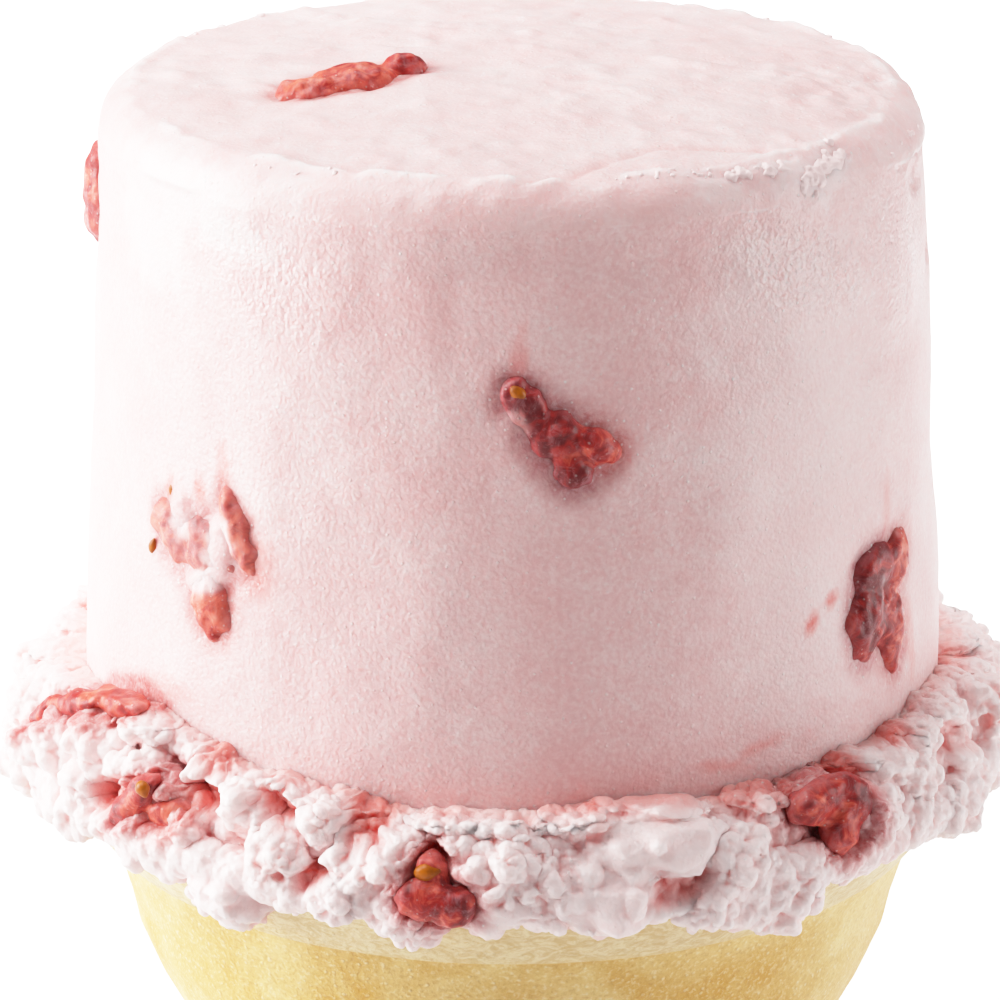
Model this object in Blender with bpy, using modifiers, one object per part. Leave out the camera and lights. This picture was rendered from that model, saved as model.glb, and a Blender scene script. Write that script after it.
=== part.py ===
"""Strawberry ice cream on a flat-bottomed wafer cone.

A pressed scoop, close to a cylinder, stands in the mouth of the cone. A skirt of crumbly
curds, squeezed out when the scoop was set down, hangs over the cone's rim. Pieces of
strawberry sit in pockets of the ice cream, with their faces just proud of it.

Units are metres, +Z is up and the front is -Y. The origin is the centre of the cone's
flat base. Azimuths are in degrees from the front, growing towards +X.
"""

import math
import random
from dataclasses import dataclass

import bmesh
import bpy
from mathutils import Matrix, Vector, noise

MM = 0.001
GAP = 0.35 * MM
MERGE_DISTANCE = 0.01 * MM
SEGMENTS = 48

# Cone
CONE_HEIGHT = 78.0 * MM
CONE_WALL = 1.8 * MM
CONE_FLOOR = 2.6 * MM
RIM_RADIUS = 29.8 * MM
RIM_EDGE = 0.5 * MM
BAND_FOOT_HEIGHT = 73.5 * MM
BAND_FOOT_RADIUS = 26.8 * MM
BAND_STEP = 0.55 * MM
BOWL_TOP_RADIUS = 25.5 * MM
BOWL_TOP_HEIGHT = 71.5 * MM
BOWL_TURN_RADIUS = 24.2 * MM
BOWL_TURN_HEIGHT = 66.5 * MM
BOWL_FOOT_RADIUS = 18.6 * MM
BOWL_FOOT_HEIGHT = 55.0 * MM
STEM_TOP_RADIUS = 17.6 * MM
STEM_TOP_HEIGHT = 52.5 * MM
STEM_FOOT_RADIUS = 15.6 * MM
FOOT_RADIUS = 16.6 * MM
FOOT_HEIGHT = 6.0 * MM
FOOT_STEP = 0.8 * MM

# Scoop
SCOOP_BASE_HEIGHT = 84.6 * MM
SCOOP_BASE_RADIUS = 27.0 * MM
SCOOP_SIDE_TOP = 116.8 * MM
SCOOP_TOP_RADIUS = 25.2 * MM
SHOULDER_RADIUS = 3.4 * MM
SHOULDER_TURN = math.radians(80)
DOME_TOP = 121.6 * MM
PLUG_FOOT = 69.0 * MM
PLUG_CHAMFER = 2.0 * MM
BROAD_SWELL = 0.30 * MM
BROAD_SIZE = 14.0 * MM
FINE_SWELL = 0.15 * MM
FINE_SIZE = 6.0 * MM
TOP_RINGS = 5
SHOULDER_TURNS = 4
SIDE_RINGS = 5

# Skirt
SKIRT_CORE_RADIUS = 30.1 * MM
SKIRT_FACE_RADIUS = 31.4 * MM
SKIRT_NECK_RADIUS = 29.4 * MM
SKIRT_WIDEST_HEIGHT = 81.0 * MM
CURD_SINK = 0.85
CURD_UNEVENNESS = 0.22
CURD_SEED = 11
CURD_CLEARANCE = 0.46
WALL_CLEARANCE = 0.5 * MM
SCOOP_TRIANGLES = 6200
CORE_UNEVENNESS = 0.7 * MM
CORE_GRAIN = 4.5 * MM

# Fruit
FRUIT_UNEVENNESS = 0.10
FRUIT_TRIANGLES = 140
SHELL_LIMIT = 1.5

# Lumps
LUMP_GRAIN = 0.6
LUMP_FINE_GRAIN = 0.35

# Finishes
SHARP_EDGE = math.radians(40)
WAFER_COLOUR = (0.74, 0.52, 0.22)
WAFER_ROUGHNESS = 0.72
ICE_CREAM_COLOUR = (0.87, 0.66, 0.66)
ICE_CREAM_ROUGHNESS = 0.45
FRUIT_COLOUR = (0.42, 0.03, 0.03)
FRUIT_SHINE = 0.3


@dataclass(frozen=True)
class Curd:
    """One lump of the skirt: its place, its mean radius and how far it stretches sideways."""

    azimuth: float
    height: float
    radius: float
    stretch: float = 1.0
    out: float = 0.0

    def centre(self):
        """The middle of the lump, sunk behind the skirt's face by a share of its radius."""
        reach = skirt_face(self.height) + self.out - CURD_SINK * self.radius
        return place(self.azimuth, reach, self.height)


@dataclass(frozen=True)
class Lobe:
    """One rounded lobe of a fruit piece, lying on the surface at a spot.

    The spot is a matrix with local X along the surface, Y into it and Z up it. The half
    sizes run along, across and into the surface, and turn tilts the lobe on the surface.
    """

    spot: Matrix
    along: float
    across: float
    deep: float
    turn: float = 0.0
    sink: float = 0.5


@dataclass(frozen=True)
class Row:
    """One row of the skirt's smaller curds."""

    height: float
    count: int
    radius_low: float
    radius_high: float


def place(azimuth, reach, height):
    """A point at an azimuth, a distance from the axis and a height."""
    angle = math.radians(azimuth)
    return Vector((reach * math.sin(angle), -reach * math.cos(angle), height))


def blend(value, low, high, at_low, at_high):
    """The straight-line value between two stations, held level beyond them."""
    share = min(max((value - low) / (high - low), 0.0), 1.0)
    return at_low + share * (at_high - at_low)


def scoop_radius(height):
    """The scoop side's radius at a height."""
    return blend(height, SCOOP_BASE_HEIGHT, SCOOP_SIDE_TOP, SCOOP_BASE_RADIUS, SCOOP_TOP_RADIUS)


def skirt_face(height):
    """How far the skirt's face stands from the axis at a height."""
    return blend(height, SKIRT_WIDEST_HEIGHT, SCOOP_BASE_HEIGHT, SKIRT_FACE_RADIUS, SKIRT_NECK_RADIUS)


def round_spot(azimuth, reach, height):
    """The surface frame at a point of the round side."""
    angle = math.radians(azimuth)
    along = Vector((math.cos(angle), math.sin(angle), 0.0))
    inward = Vector((-math.sin(angle), math.cos(angle), 0.0))
    frame = Matrix((along, inward, Vector((0.0, 0.0, 1.0)))).transposed().to_4x4()
    return Matrix.Translation(place(azimuth, reach, height)) @ frame


def side_spot(azimuth, height_mm):
    """The surface frame on the scoop's side."""
    height = height_mm * MM
    return round_spot(azimuth, scoop_radius(height), height)


def skirt_spot(azimuth, height_mm, reach_mm):
    """The surface frame on the skirt."""
    return round_spot(azimuth, reach_mm * MM, height_mm * MM)


def top_spot(x_mm, y_mm):
    """The surface frame on the scoop's top."""
    flat = Vector((x_mm * MM, y_mm * MM, 0.0))
    frame = Matrix(((1.0, 0.0, 0.0), (0.0, 0.0, -1.0), (0.0, 1.0, 0.0))).transposed().to_4x4()
    return Matrix.Translation((flat.x, flat.y, dome_height(flat.length))) @ frame


def shoulder_end():
    """The radius and height where the shoulder meets the top."""
    radius = SCOOP_TOP_RADIUS - SHOULDER_RADIUS * (1.0 - math.cos(SHOULDER_TURN))
    height = SCOOP_SIDE_TOP + SHOULDER_RADIUS * math.sin(SHOULDER_TURN)
    return radius, height


def dome_height(radius):
    """The height of the scoop's low crowned top at a distance from the axis."""
    edge_radius, edge_height = shoulder_end()
    return DOME_TOP - (DOME_TOP - edge_height) * (radius / edge_radius) ** 2


SKIRT_LUMPS = (
    Curd(-97, 77.7 * MM, 2.4 * MM, 1.2, out=0.7 * MM),
    Curd(-79, 78.0 * MM, 2.3 * MM, 1.1, out=0.7 * MM),
    Curd(-61, 78.6 * MM, 2.2 * MM, 1.2),
    Curd(-57, 83.2 * MM, 2.5 * MM, 1.3),
    Curd(-43, 79.2 * MM, 2.1 * MM, 1.2),
    Curd(-32, 82.8 * MM, 2.1 * MM, 1.0),
    Curd(-34, 77.6 * MM, 2.7 * MM, 1.1),
    Curd(-21, 83.2 * MM, 2.3 * MM, 1.2),
    Curd(-15, 80.4 * MM, 2.6 * MM, 1.3),
    Curd(-3, 77.9 * MM, 1.4 * MM, 0.9, out=-0.2 * MM),
    Curd(-1, 80.6 * MM, 2.4 * MM, 1.4),
    Curd(6, 79.6 * MM, 2.2 * MM, 1.1),
    Curd(11, 78.6 * MM, 2.4 * MM, 0.9, out=0.3 * MM),
    Curd(16, 82.0 * MM, 2.9 * MM, 1.4),
    Curd(25, 80.0 * MM, 2.5 * MM, 1.1),
    Curd(32, 77.8 * MM, 2.2 * MM, 1.3),
    Curd(50, 82.8 * MM, 2.5 * MM, 0.9),
    Curd(53, 78.8 * MM, 2.2 * MM, 1.1, out=-0.4 * MM),
    Curd(65, 83.6 * MM, 2.2 * MM, 1.0),
    Curd(80, 77.6 * MM, 2.1 * MM, 1.2, out=-0.3 * MM),
)

SKIRT_ROWS = (
    Row(78.5 * MM, 38, 1.4 * MM, 2.3 * MM),
    Row(81.0 * MM, 38, 1.5 * MM, 2.7 * MM),
    Row(83.8 * MM, 38, 1.3 * MM, 2.2 * MM),
)

FRUIT_PIECES = {
    "fruit_top": (
        Lobe(top_spot(-12.4, -6.9), 2.4, 1.5, 1.2, turn=-8),
        Lobe(top_spot(-9.4, -5.0), 3.1, 1.8, 1.3, turn=-34),
        Lobe(top_spot(-6.4, -2.0), 1.6, 1.4, 1.4, turn=-40, sink=0.2),
    ),
    "fruit_left_edge": (
        Lobe(side_spot(-87, 113.8), 3.3, 2.2, 1.4, turn=88, sink=0.9),
        Lobe(side_spot(-90, 110.6), 2.4, 1.4, 1.3, turn=-80, sink=0.8),
    ),
    "fruit_front_left": (
        Lobe(side_spot(-37.5, 98.2), 2.9, 0.9, 1.2, turn=62),
        Lobe(side_spot(-44.0, 96.8), 3.0, 2.0, 1.1, turn=20, sink=0.8),
        Lobe(side_spot(-50.0, 97.0), 2.2, 1.4, 1.2, turn=50, sink=0.7),
        Lobe(side_spot(-42.0, 93.0), 2.5, 1.4, 1.3, turn=80, sink=0.4),
    ),
    "fruit_centre": (
        Lobe(side_spot(1.4, 107.8), 1.8, 1.2, 1.3, turn=55, sink=0.7),
        Lobe(side_spot(5.6, 105.8), 2.4, 1.5, 1.4, turn=35, sink=0.7),
        Lobe(side_spot(10.6, 105.4), 1.9, 1.3, 1.3, turn=-15, sink=0.5),
        Lobe(side_spot(7.6, 103.9), 1.3, 1.4, 1.3, turn=0, sink=0.6),
    ),
    "fruit_right": (
        Lobe(side_spot(54.0, 94.0), 2.2, 1.4, 1.4, turn=-20, sink=0.6),
        Lobe(side_spot(52.0, 91.0), 3.0, 1.8, 1.4, turn=-80, sink=0.6),
        Lobe(side_spot(60.5, 93.6), 2.0, 1.3, 1.3, turn=-70, sink=0.4),
        Lobe(side_spot(59.5, 89.2), 3.2, 1.1, 1.3, turn=82, sink=0.6),
    ),
    "fruit_skirt_left_strip": (
        Lobe(skirt_spot(-70, 82.8, 30.6), 3.2, 1.1, 1.2, turn=-36, sink=0.3),
        Lobe(skirt_spot(-63, 84.6, 29.9), 3.4, 1.2, 1.3, turn=-24, sink=0.3),
        Lobe(skirt_spot(-56, 85.8, 28.9), 3.0, 1.1, 1.3, turn=-8, sink=0.3),
    ),
    "fruit_skirt_left": (
        Lobe(skirt_spot(-49, 80.6, 31.1), 2.8, 1.2, 1.2, turn=-38, sink=0.5),
        Lobe(skirt_spot(-44, 81.2, 30.9), 1.9, 1.3, 1.2, turn=-10, sink=0.7),
    ),
    "fruit_skirt_front": (
        Lobe(skirt_spot(-9.4, 79.6, 31.7), 1.7, 1.3, 1.1, turn=10, sink=0.3),
        Lobe(skirt_spot(-6.4, 79.2, 31.6), 1.6, 1.2, 1.1, turn=-15, sink=0.3),
        Lobe(skirt_spot(-8.6, 81.4, 31.0), 1.2, 1.0, 1.2, turn=70, sink=0.3),
    ),
    "fruit_skirt_right": (
        Lobe(skirt_spot(36, 82.6, 30.4), 1.8, 1.7, 1.3, turn=0, sink=0.3),
        Lobe(skirt_spot(42, 82.3, 30.7), 2.0, 1.4, 1.3, turn=70, sink=0.3),
        Lobe(skirt_spot(39, 80.4, 31.2), 1.3, 1.5, 1.2, turn=0, sink=0.4),
    ),
    "fruit_back_upper": (
        Lobe(side_spot(172, 110.6), 2.6, 1.4, 1.3, turn=25, sink=0.6),
        Lobe(side_spot(178, 111.8), 1.8, 1.2, 1.3, turn=-40, sink=0.5),
    ),
    "fruit_back_lower": (
        Lobe(side_spot(205, 92.6), 3.0, 1.7, 1.3, turn=-60, sink=0.6),
        Lobe(side_spot(209, 94.8), 2.2, 1.3, 1.3, turn=-20, sink=0.5),
        Lobe(side_spot(202, 90.0), 2.0, 1.1, 1.2, turn=-80, sink=0.5),
    ),
    "fruit_back_right": (
        Lobe(side_spot(121, 99.4), 2.4, 1.5, 1.3, turn=-35, sink=0.6),
        Lobe(side_spot(126, 101.2), 2.0, 1.2, 1.3, turn=40, sink=0.5),
        Lobe(side_spot(117, 97.2), 1.5, 1.0, 1.2, turn=80, sink=0.5),
    ),
    "fruit_back_left": (
        Lobe(side_spot(-127, 101.8), 2.5, 1.4, 1.3, turn=60, sink=0.6),
        Lobe(side_spot(-122, 99.6), 1.7, 1.2, 1.3, turn=0, sink=0.5),
    ),
    "fruit_skirt_back_right": (
        Lobe(skirt_spot(136, 81.6, 30.9), 2.4, 1.3, 1.2, turn=25, sink=0.4),
        Lobe(skirt_spot(141, 80.6, 31.0), 1.6, 1.2, 1.2, turn=-30, sink=0.4),
    ),
    "fruit_skirt_back_left": (
        Lobe(skirt_spot(-150, 82.0, 30.7), 2.2, 1.3, 1.2, turn=-30, sink=0.4),
        Lobe(skirt_spot(-145, 81.0, 30.9), 1.6, 1.1, 1.2, turn=30, sink=0.4),
    ),
}


def clear_scene():
    """Remove every object of the open file."""
    for item in list(bpy.data.objects):
        bpy.data.objects.remove(item, do_unlink=True)


def new_collection(name):
    """A new collection under the scene's own."""
    collection = bpy.data.collections.new(name)
    bpy.context.scene.collection.children.link(collection)
    return collection


def new_object(name, mesh, collection):
    """An object with a mesh, linked to one collection."""
    item = bpy.data.objects.new(name, mesh)
    collection.objects.link(item)
    return item


def finish(name, colour, roughness):
    """A plain coated material with a colour and a roughness."""
    material = bpy.data.materials.new(name)
    material.use_nodes = True
    shader = material.node_tree.nodes["Principled BSDF"]
    shader.inputs["Base Color"].default_value = (*colour, 1.0)
    shader.inputs["Roughness"].default_value = roughness
    shader.inputs["Metallic"].default_value = 0.0
    material.diffuse_color = (*colour, 1.0)
    return material


def apply_modifiers(item):
    """Replace an object's mesh by the one that its modifiers give."""
    graph = bpy.context.evaluated_depsgraph_get()
    mesh = bpy.data.meshes.new_from_object(item.evaluated_get(graph))
    item.modifiers.clear()
    item.data = mesh


def weld(item):
    """Join an object's doubled points, such as those on a turned solid's axis."""
    mesh = bmesh.new()
    mesh.from_mesh(item.data)
    bmesh.ops.remove_doubles(mesh, verts=mesh.verts, dist=MERGE_DISTANCE)
    bmesh.ops.dissolve_degenerate(mesh, dist=MERGE_DISTANCE, edges=mesh.edges)
    bmesh.ops.recalc_face_normals(mesh, faces=mesh.faces)
    mesh.to_mesh(item.data)
    mesh.free()


def drop_scraps(item):
    """Keep only the largest body of an object's mesh."""
    mesh = bmesh.new()
    mesh.from_mesh(item.data)
    scraps = [face for body in bodies_of(mesh)[1:] for face in body]
    bmesh.ops.delete(mesh, geom=scraps, context="FACES")
    mesh.to_mesh(item.data)
    mesh.free()


def bodies_of(mesh):
    """The faces of each body of a mesh, joined edge to edge, the largest body first."""
    left = set(mesh.faces)
    bodies = []
    for start in mesh.faces:
        if start not in left:
            continue
        left.remove(start)
        front = [start]
        body = []
        while front:
            face = front.pop()
            body.append(face)
            for edge in face.edges:
                for other in edge.link_faces:
                    if other in left:
                        left.remove(other)
                        front.append(other)
        bodies.append(body)
    return sorted(bodies, key=len, reverse=True)


def turned(name, outline, collection):
    """A turned solid from an outline of radius and height, run down its outer side."""
    mesh = bpy.data.meshes.new(name)
    points = [(radius, 0.0, height) for radius, height in outline]
    closed = outline[0][0] > 0.0
    edges = [(index, index + 1) for index in range(len(points) - 1)]
    if closed:
        edges.append((len(points) - 1, 0))
    mesh.from_pydata(points, edges, [])
    item = new_object(name, mesh, collection)
    screw = item.modifiers.new("turn", "SCREW")
    screw.axis = "Z"
    screw.steps = SEGMENTS
    screw.render_steps = SEGMENTS
    screw.use_merge_vertices = True
    screw.merge_threshold = MERGE_DISTANCE
    apply_modifiers(item)
    weld(item)
    return item


def wobble(point, size, seed):
    """A smooth random value between about -1 and 1 for a point, at a size of feature."""
    return noise.noise(point / size + Vector((seed, 0.37 * seed, -0.61 * seed)))


def ball(name, frame, half_sizes, unevenness, seed, collection):
    """An uneven rounded lump with its own half sizes, in a frame."""
    shape = bmesh.new()
    bmesh.ops.create_icosphere(shape, subdivisions=2, radius=1.0)
    mean = sum(half_sizes) / 3.0
    for vert in shape.verts:
        swell = 1.0 + unevenness * wobble(vert.co, LUMP_GRAIN, seed)
        vert.co = Vector([value * half * swell for value, half in zip(vert.co, half_sizes)])
        fine_swell = mean * unevenness * wobble(vert.co / mean, LUMP_FINE_GRAIN, seed + 5.0)
        vert.co += vert.co.normalized() * fine_swell
    mesh = bpy.data.meshes.new(name)
    shape.to_mesh(mesh)
    shape.free()
    mesh.transform(frame)
    return new_object(name, mesh, collection)


def combine(body, pieces, operation, solver="EXACT"):
    """One Boolean of a whole collection on a body, applied, with the collection emptied."""
    boolean = body.modifiers.new("combine", "BOOLEAN")
    boolean.operation = operation
    boolean.solver = solver
    boolean.operand_type = "COLLECTION"
    boolean.collection = pieces
    apply_modifiers(body)
    for piece in list(pieces.objects):
        bpy.data.objects.remove(piece, do_unlink=True)


def is_closed(item):
    """Whether every edge of an object's mesh joins exactly two faces."""
    mesh = bmesh.new()
    mesh.from_mesh(item.data)
    closed = all(len(edge.link_faces) == 2 for edge in mesh.edges)
    mesh.free()
    return closed


def drop_flaps(item):
    """Remove the stray faces that hang by one edge from an otherwise closed mesh."""
    mesh = bmesh.new()
    mesh.from_mesh(item.data)
    flaps = [face for face in mesh.faces if any(len(edge.link_faces) == 1 for edge in face.edges)]
    bmesh.ops.delete(mesh, geom=flaps, context="FACES")
    mesh.to_mesh(item.data)
    mesh.free()


def lighten(item, limit):
    """Bring a mesh near a number of triangles, by the strongest thinning that keeps it closed."""
    whole = item.data
    count = sum(len(face.vertices) - 2 for face in whole.polygons)
    tries = 12
    for step in range(tries):
        item.data = whole.copy()
        decimate = item.modifiers.new("lighten", "DECIMATE")
        decimate.ratio = min(limit * (1.0 + 0.02 * step) / count, 1.0)
        apply_modifiers(item)
        drop_flaps(item)
        if is_closed(item):
            return
    item.data = whole


def cone_outer():
    """The cone's outer outline from the rim down to the foot."""
    return [
        (RIM_RADIUS - RIM_EDGE, CONE_HEIGHT),
        (RIM_RADIUS, CONE_HEIGHT - RIM_EDGE),
        (BAND_FOOT_RADIUS, BAND_FOOT_HEIGHT),
        (BAND_FOOT_RADIUS - BAND_STEP, BAND_FOOT_HEIGHT - 0.5 * BAND_STEP),
        (BOWL_TOP_RADIUS, BOWL_TOP_HEIGHT),
        (BOWL_TURN_RADIUS + 0.4 * MM, BOWL_TURN_HEIGHT + 2.0 * MM),
        (BOWL_TURN_RADIUS, BOWL_TURN_HEIGHT),
        (BOWL_TURN_RADIUS - 1.2 * MM, BOWL_TURN_HEIGHT - 3.0 * MM),
        (BOWL_FOOT_RADIUS, BOWL_FOOT_HEIGHT),
        (STEM_TOP_RADIUS, STEM_TOP_HEIGHT),
        (STEM_TOP_RADIUS - FOOT_STEP, STEM_TOP_HEIGHT - FOOT_STEP),
        (STEM_FOOT_RADIUS, FOOT_HEIGHT + FOOT_STEP),
        (FOOT_RADIUS, FOOT_HEIGHT),
        (FOOT_RADIUS, RIM_EDGE),
        (FOOT_RADIUS - RIM_EDGE, 0.0),
    ]


def cone_inner():
    """The cone's inner outline from the floor up to the mouth."""
    return [
        (STEM_FOOT_RADIUS - CONE_WALL, CONE_FLOOR),
        (STEM_TOP_RADIUS - FOOT_STEP - CONE_WALL, STEM_TOP_HEIGHT - FOOT_STEP),
        (BOWL_FOOT_RADIUS - CONE_WALL, BOWL_FOOT_HEIGHT),
        (BOWL_TURN_RADIUS - 1.2 * MM - CONE_WALL, BOWL_TURN_HEIGHT - 3.0 * MM),
        (BOWL_TURN_RADIUS - CONE_WALL, BOWL_TURN_HEIGHT),
        (BOWL_TOP_RADIUS - CONE_WALL, BOWL_TOP_HEIGHT),
        (BAND_FOOT_RADIUS - CONE_WALL, BAND_FOOT_HEIGHT),
        (RIM_RADIUS - CONE_WALL, CONE_HEIGHT - RIM_EDGE),
        (RIM_RADIUS - CONE_WALL + RIM_EDGE, CONE_HEIGHT),
    ]


def build_cone(collection):
    """The wafer cone: a thin turned shell, open at its mouth and shut at its foot."""
    outline = [(0.0, CONE_FLOOR)] + cone_inner() + cone_outer() + [(0.0, 0.0)]
    cone = turned("cone", outline, collection)
    cone.data.materials.append(finish("wafer", WAFER_COLOUR, WAFER_ROUGHNESS))
    return cone


def build_wall_cutter(collection):
    """The upper wall of the cone, grown all round, which clears the ice cream from it."""
    grow = WALL_CLEARANCE
    outline = [
        (BOWL_TURN_RADIUS - CONE_WALL - grow, BOWL_TURN_HEIGHT),
        (BOWL_TOP_RADIUS - CONE_WALL - grow, BOWL_TOP_HEIGHT),
        (BAND_FOOT_RADIUS - CONE_WALL - grow, BAND_FOOT_HEIGHT),
        (RIM_RADIUS - CONE_WALL - grow, CONE_HEIGHT - RIM_EDGE),
        (RIM_RADIUS - CONE_WALL, CONE_HEIGHT + grow),
        (RIM_RADIUS, CONE_HEIGHT + grow),
        (RIM_RADIUS + grow, CONE_HEIGHT - RIM_EDGE),
        (BAND_FOOT_RADIUS + grow, BAND_FOOT_HEIGHT - grow),
        (BOWL_TURN_RADIUS + BAND_STEP, BOWL_TURN_HEIGHT),
    ]
    return turned("wall_cutter", outline, collection)


def scoop_outline():
    """The ice cream's outline: top, shoulder, side, the skirt's core and the plug in the mouth."""
    edge_radius, _ = shoulder_end()
    top_radii = [edge_radius * step / TOP_RINGS for step in range(TOP_RINGS)]
    outline = [(radius, dome_height(radius)) for radius in top_radii]
    for step in range(SHOULDER_TURNS + 1):
        angle = SHOULDER_TURN * (1.0 - step / SHOULDER_TURNS)
        radius = SCOOP_TOP_RADIUS - SHOULDER_RADIUS * (1.0 - math.cos(angle))
        outline.append((radius, SCOOP_SIDE_TOP + SHOULDER_RADIUS * math.sin(angle)))
    for step in range(1, SIDE_RINGS + 1):
        share = step / SIDE_RINGS
        height = SCOOP_SIDE_TOP + share * (SCOOP_BASE_HEIGHT - SCOOP_SIDE_TOP)
        outline.append((scoop_radius(height), height))
    half_wall = 0.5 * CONE_WALL
    outline += [
        (SKIRT_CORE_RADIUS - 1.6 * MM, SCOOP_BASE_HEIGHT - 1.0 * MM),
        (SKIRT_CORE_RADIUS - 0.4 * MM, SKIRT_WIDEST_HEIGHT + 1.0 * MM),
        (SKIRT_CORE_RADIUS, CONE_HEIGHT + 1.6 * MM),
        (SKIRT_CORE_RADIUS - 0.3 * MM, CONE_HEIGHT + 0.7 * MM),
        (RIM_RADIUS - half_wall, CONE_HEIGHT - half_wall),
        (BAND_FOOT_RADIUS - half_wall, BAND_FOOT_HEIGHT),
        (BOWL_TOP_RADIUS - half_wall, BOWL_TOP_HEIGHT),
        (BOWL_TOP_RADIUS - CONE_WALL - PLUG_CHAMFER, PLUG_FOOT),
        (0.0, PLUG_FOOT),
    ]
    return outline


def soften(item):
    """Give the scoop's top and side a low unevenness, and the skirt's core a rougher one."""
    for vert in item.data.vertices:
        outward = Vector((vert.co.x, vert.co.y, 0.0))
        if vert.co.z > SCOOP_SIDE_TOP:
            outward = Vector((0.0, 0.0, 1.0))
        if vert.co.z > SCOOP_BASE_HEIGHT - MERGE_DISTANCE:
            swell = BROAD_SWELL * wobble(vert.co, BROAD_SIZE, 3.0) + FINE_SWELL * wobble(vert.co, FINE_SIZE, 8.0)
            vert.co += outward.normalized() * swell
        elif vert.co.z > CONE_HEIGHT + 1.2 * MM:
            vert.co += outward.normalized() * CORE_UNEVENNESS * wobble(vert.co, CORE_GRAIN, 4.0)


def crowded(curd, others):
    """Whether a lump would stand mostly inside one of those already there."""
    centre = curd.centre()
    return any(
        (centre - other.centre()).length < CURD_CLEARANCE * (curd.radius + other.radius)
        for other in others
    )


def skirt_curds():
    """The skirt's lumps: those set by hand, then rows of smaller ones where there is room."""
    dice = random.Random(CURD_SEED)
    curds = list(SKIRT_LUMPS)
    for row in SKIRT_ROWS:
        for index in range(row.count):
            azimuth = -180.0 + 360.0 * (index + dice.uniform(-0.35, 0.35)) / row.count
            height = row.height + dice.uniform(-0.7, 0.7) * MM
            radius = dice.uniform(row.radius_low, row.radius_high)
            stretch = dice.uniform(0.85, 1.35)
            curd = Curd(azimuth, height, radius, stretch, out=dice.uniform(-0.4, 0.4) * MM)
            if not crowded(curd, curds):
                curds.append(curd)
    return curds


def build_curds(collection):
    """The skirt's lumps as solids, ready to be joined to the scoop."""
    dice = random.Random(CURD_SEED + 1)
    for index, curd in enumerate(skirt_curds()):
        squash = dice.uniform(0.85, 1.15)
        half_sizes = (curd.radius * curd.stretch, curd.radius, curd.radius * squash)
        frame = round_spot(curd.azimuth, 0.0, curd.height)
        frame.translation = curd.centre()
        frame = frame @ Matrix.Rotation(math.radians(dice.uniform(-30.0, 30.0)), 4, "Y")
        ball(f"curd_{index}", frame, half_sizes, CURD_UNEVENNESS, 1.7 * index, collection)


def build_fruit(name, lobes, collection):
    """One piece of strawberry: its lobes joined into one solid."""
    lobe_collection = new_collection(f"{name}_lobes")
    pieces = []
    for index, lobe in enumerate(lobes):
        frame = lobe.spot @ Matrix.Rotation(math.radians(lobe.turn), 4, "Y")
        frame = frame @ Matrix.Translation((0.0, lobe.sink * MM, 0.0))
        half_sizes = [half * MM for half in (lobe.along, lobe.deep, lobe.across)]
        owner = collection if index == 0 else lobe_collection
        pieces.append(ball(name, frame, half_sizes, FRUIT_UNEVENNESS, 2.3 * index, owner))
    fruit = pieces[0]
    combine(fruit, lobe_collection, "UNION")
    bpy.data.collections.remove(lobe_collection)
    drop_scraps(fruit)
    lighten(fruit, FRUIT_TRIANGLES)
    fruit.data.materials.append(finish(f"{name}_red", FRUIT_COLOUR, FRUIT_SHINE))
    return fruit


def build_pocket(fruit, collection):
    """The space that a piece of fruit needs in the ice cream: the piece grown by the gap."""
    mesh = fruit.data.copy()
    shape = bmesh.new()
    shape.from_mesh(mesh)
    shape.normal_update()
    growths = [GAP * min(vert.calc_shell_factor(), SHELL_LIMIT) for vert in shape.verts]
    for vert, growth in zip(shape.verts, growths):
        vert.co += vert.normal * growth
    shape.to_mesh(mesh)
    shape.free()
    return new_object(f"{fruit.name}_pocket", mesh, collection)


def build_ice_cream(fruits, parts, cutters):
    """The scoop with its skirt, cleared of the cone's wall and of the fruit's pockets."""
    ice_cream = turned("ice_cream", scoop_outline(), parts)
    soften(ice_cream)
    curds = new_collection("curds")
    build_curds(curds)
    combine(ice_cream, curds, "UNION")
    bpy.data.collections.remove(curds)
    build_wall_cutter(cutters)
    combine(ice_cream, cutters, "DIFFERENCE")
    drop_scraps(ice_cream)
    lighten(ice_cream, SCOOP_TRIANGLES)
    for fruit in fruits:
        build_pocket(fruit, cutters)
    combine(ice_cream, cutters, "DIFFERENCE", solver="MANIFOLD")
    drop_scraps(ice_cream)
    ice_cream.data.materials.append(finish("ice_cream_pink", ICE_CREAM_COLOUR, ICE_CREAM_ROUGHNESS))
    return ice_cream


def shade(item):
    """Smooth shading with sharp edges kept."""
    item.data.shade_smooth()
    item.data.set_sharp_from_angle(angle=SHARP_EDGE)


def main():
    """Build every piece of the part."""
    clear_scene()
    parts = new_collection("strawberry_ice_cream")
    cutters = new_collection("cutters")
    shade(build_cone(parts))
    fruits = [build_fruit(name, lobes, parts) for name, lobes in FRUIT_PIECES.items()]
    for fruit in fruits:
        shade(fruit)
    shade(build_ice_cream(fruits, parts, cutters))
    bpy.data.collections.remove(cutters)


main()
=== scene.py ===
"""Strawberry ice cream on a flat-bottomed wafer cone, with its fine surface and its finishes.

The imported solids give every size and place. The scoop, the skirt of curds under it, the cone
and the pieces of strawberry are each made again here over the solid that they stand for.

Units are metres, +Z is up and the front is -Y. The origin is the centre of the cone's flat
base. Azimuths are in degrees from the front, growing towards +X.
"""

from __future__ import annotations

import logging
import math
import random
from dataclasses import dataclass, field
from enum import Enum

import bpy
import numpy as np
from mathutils import Matrix, Vector, noise


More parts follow.
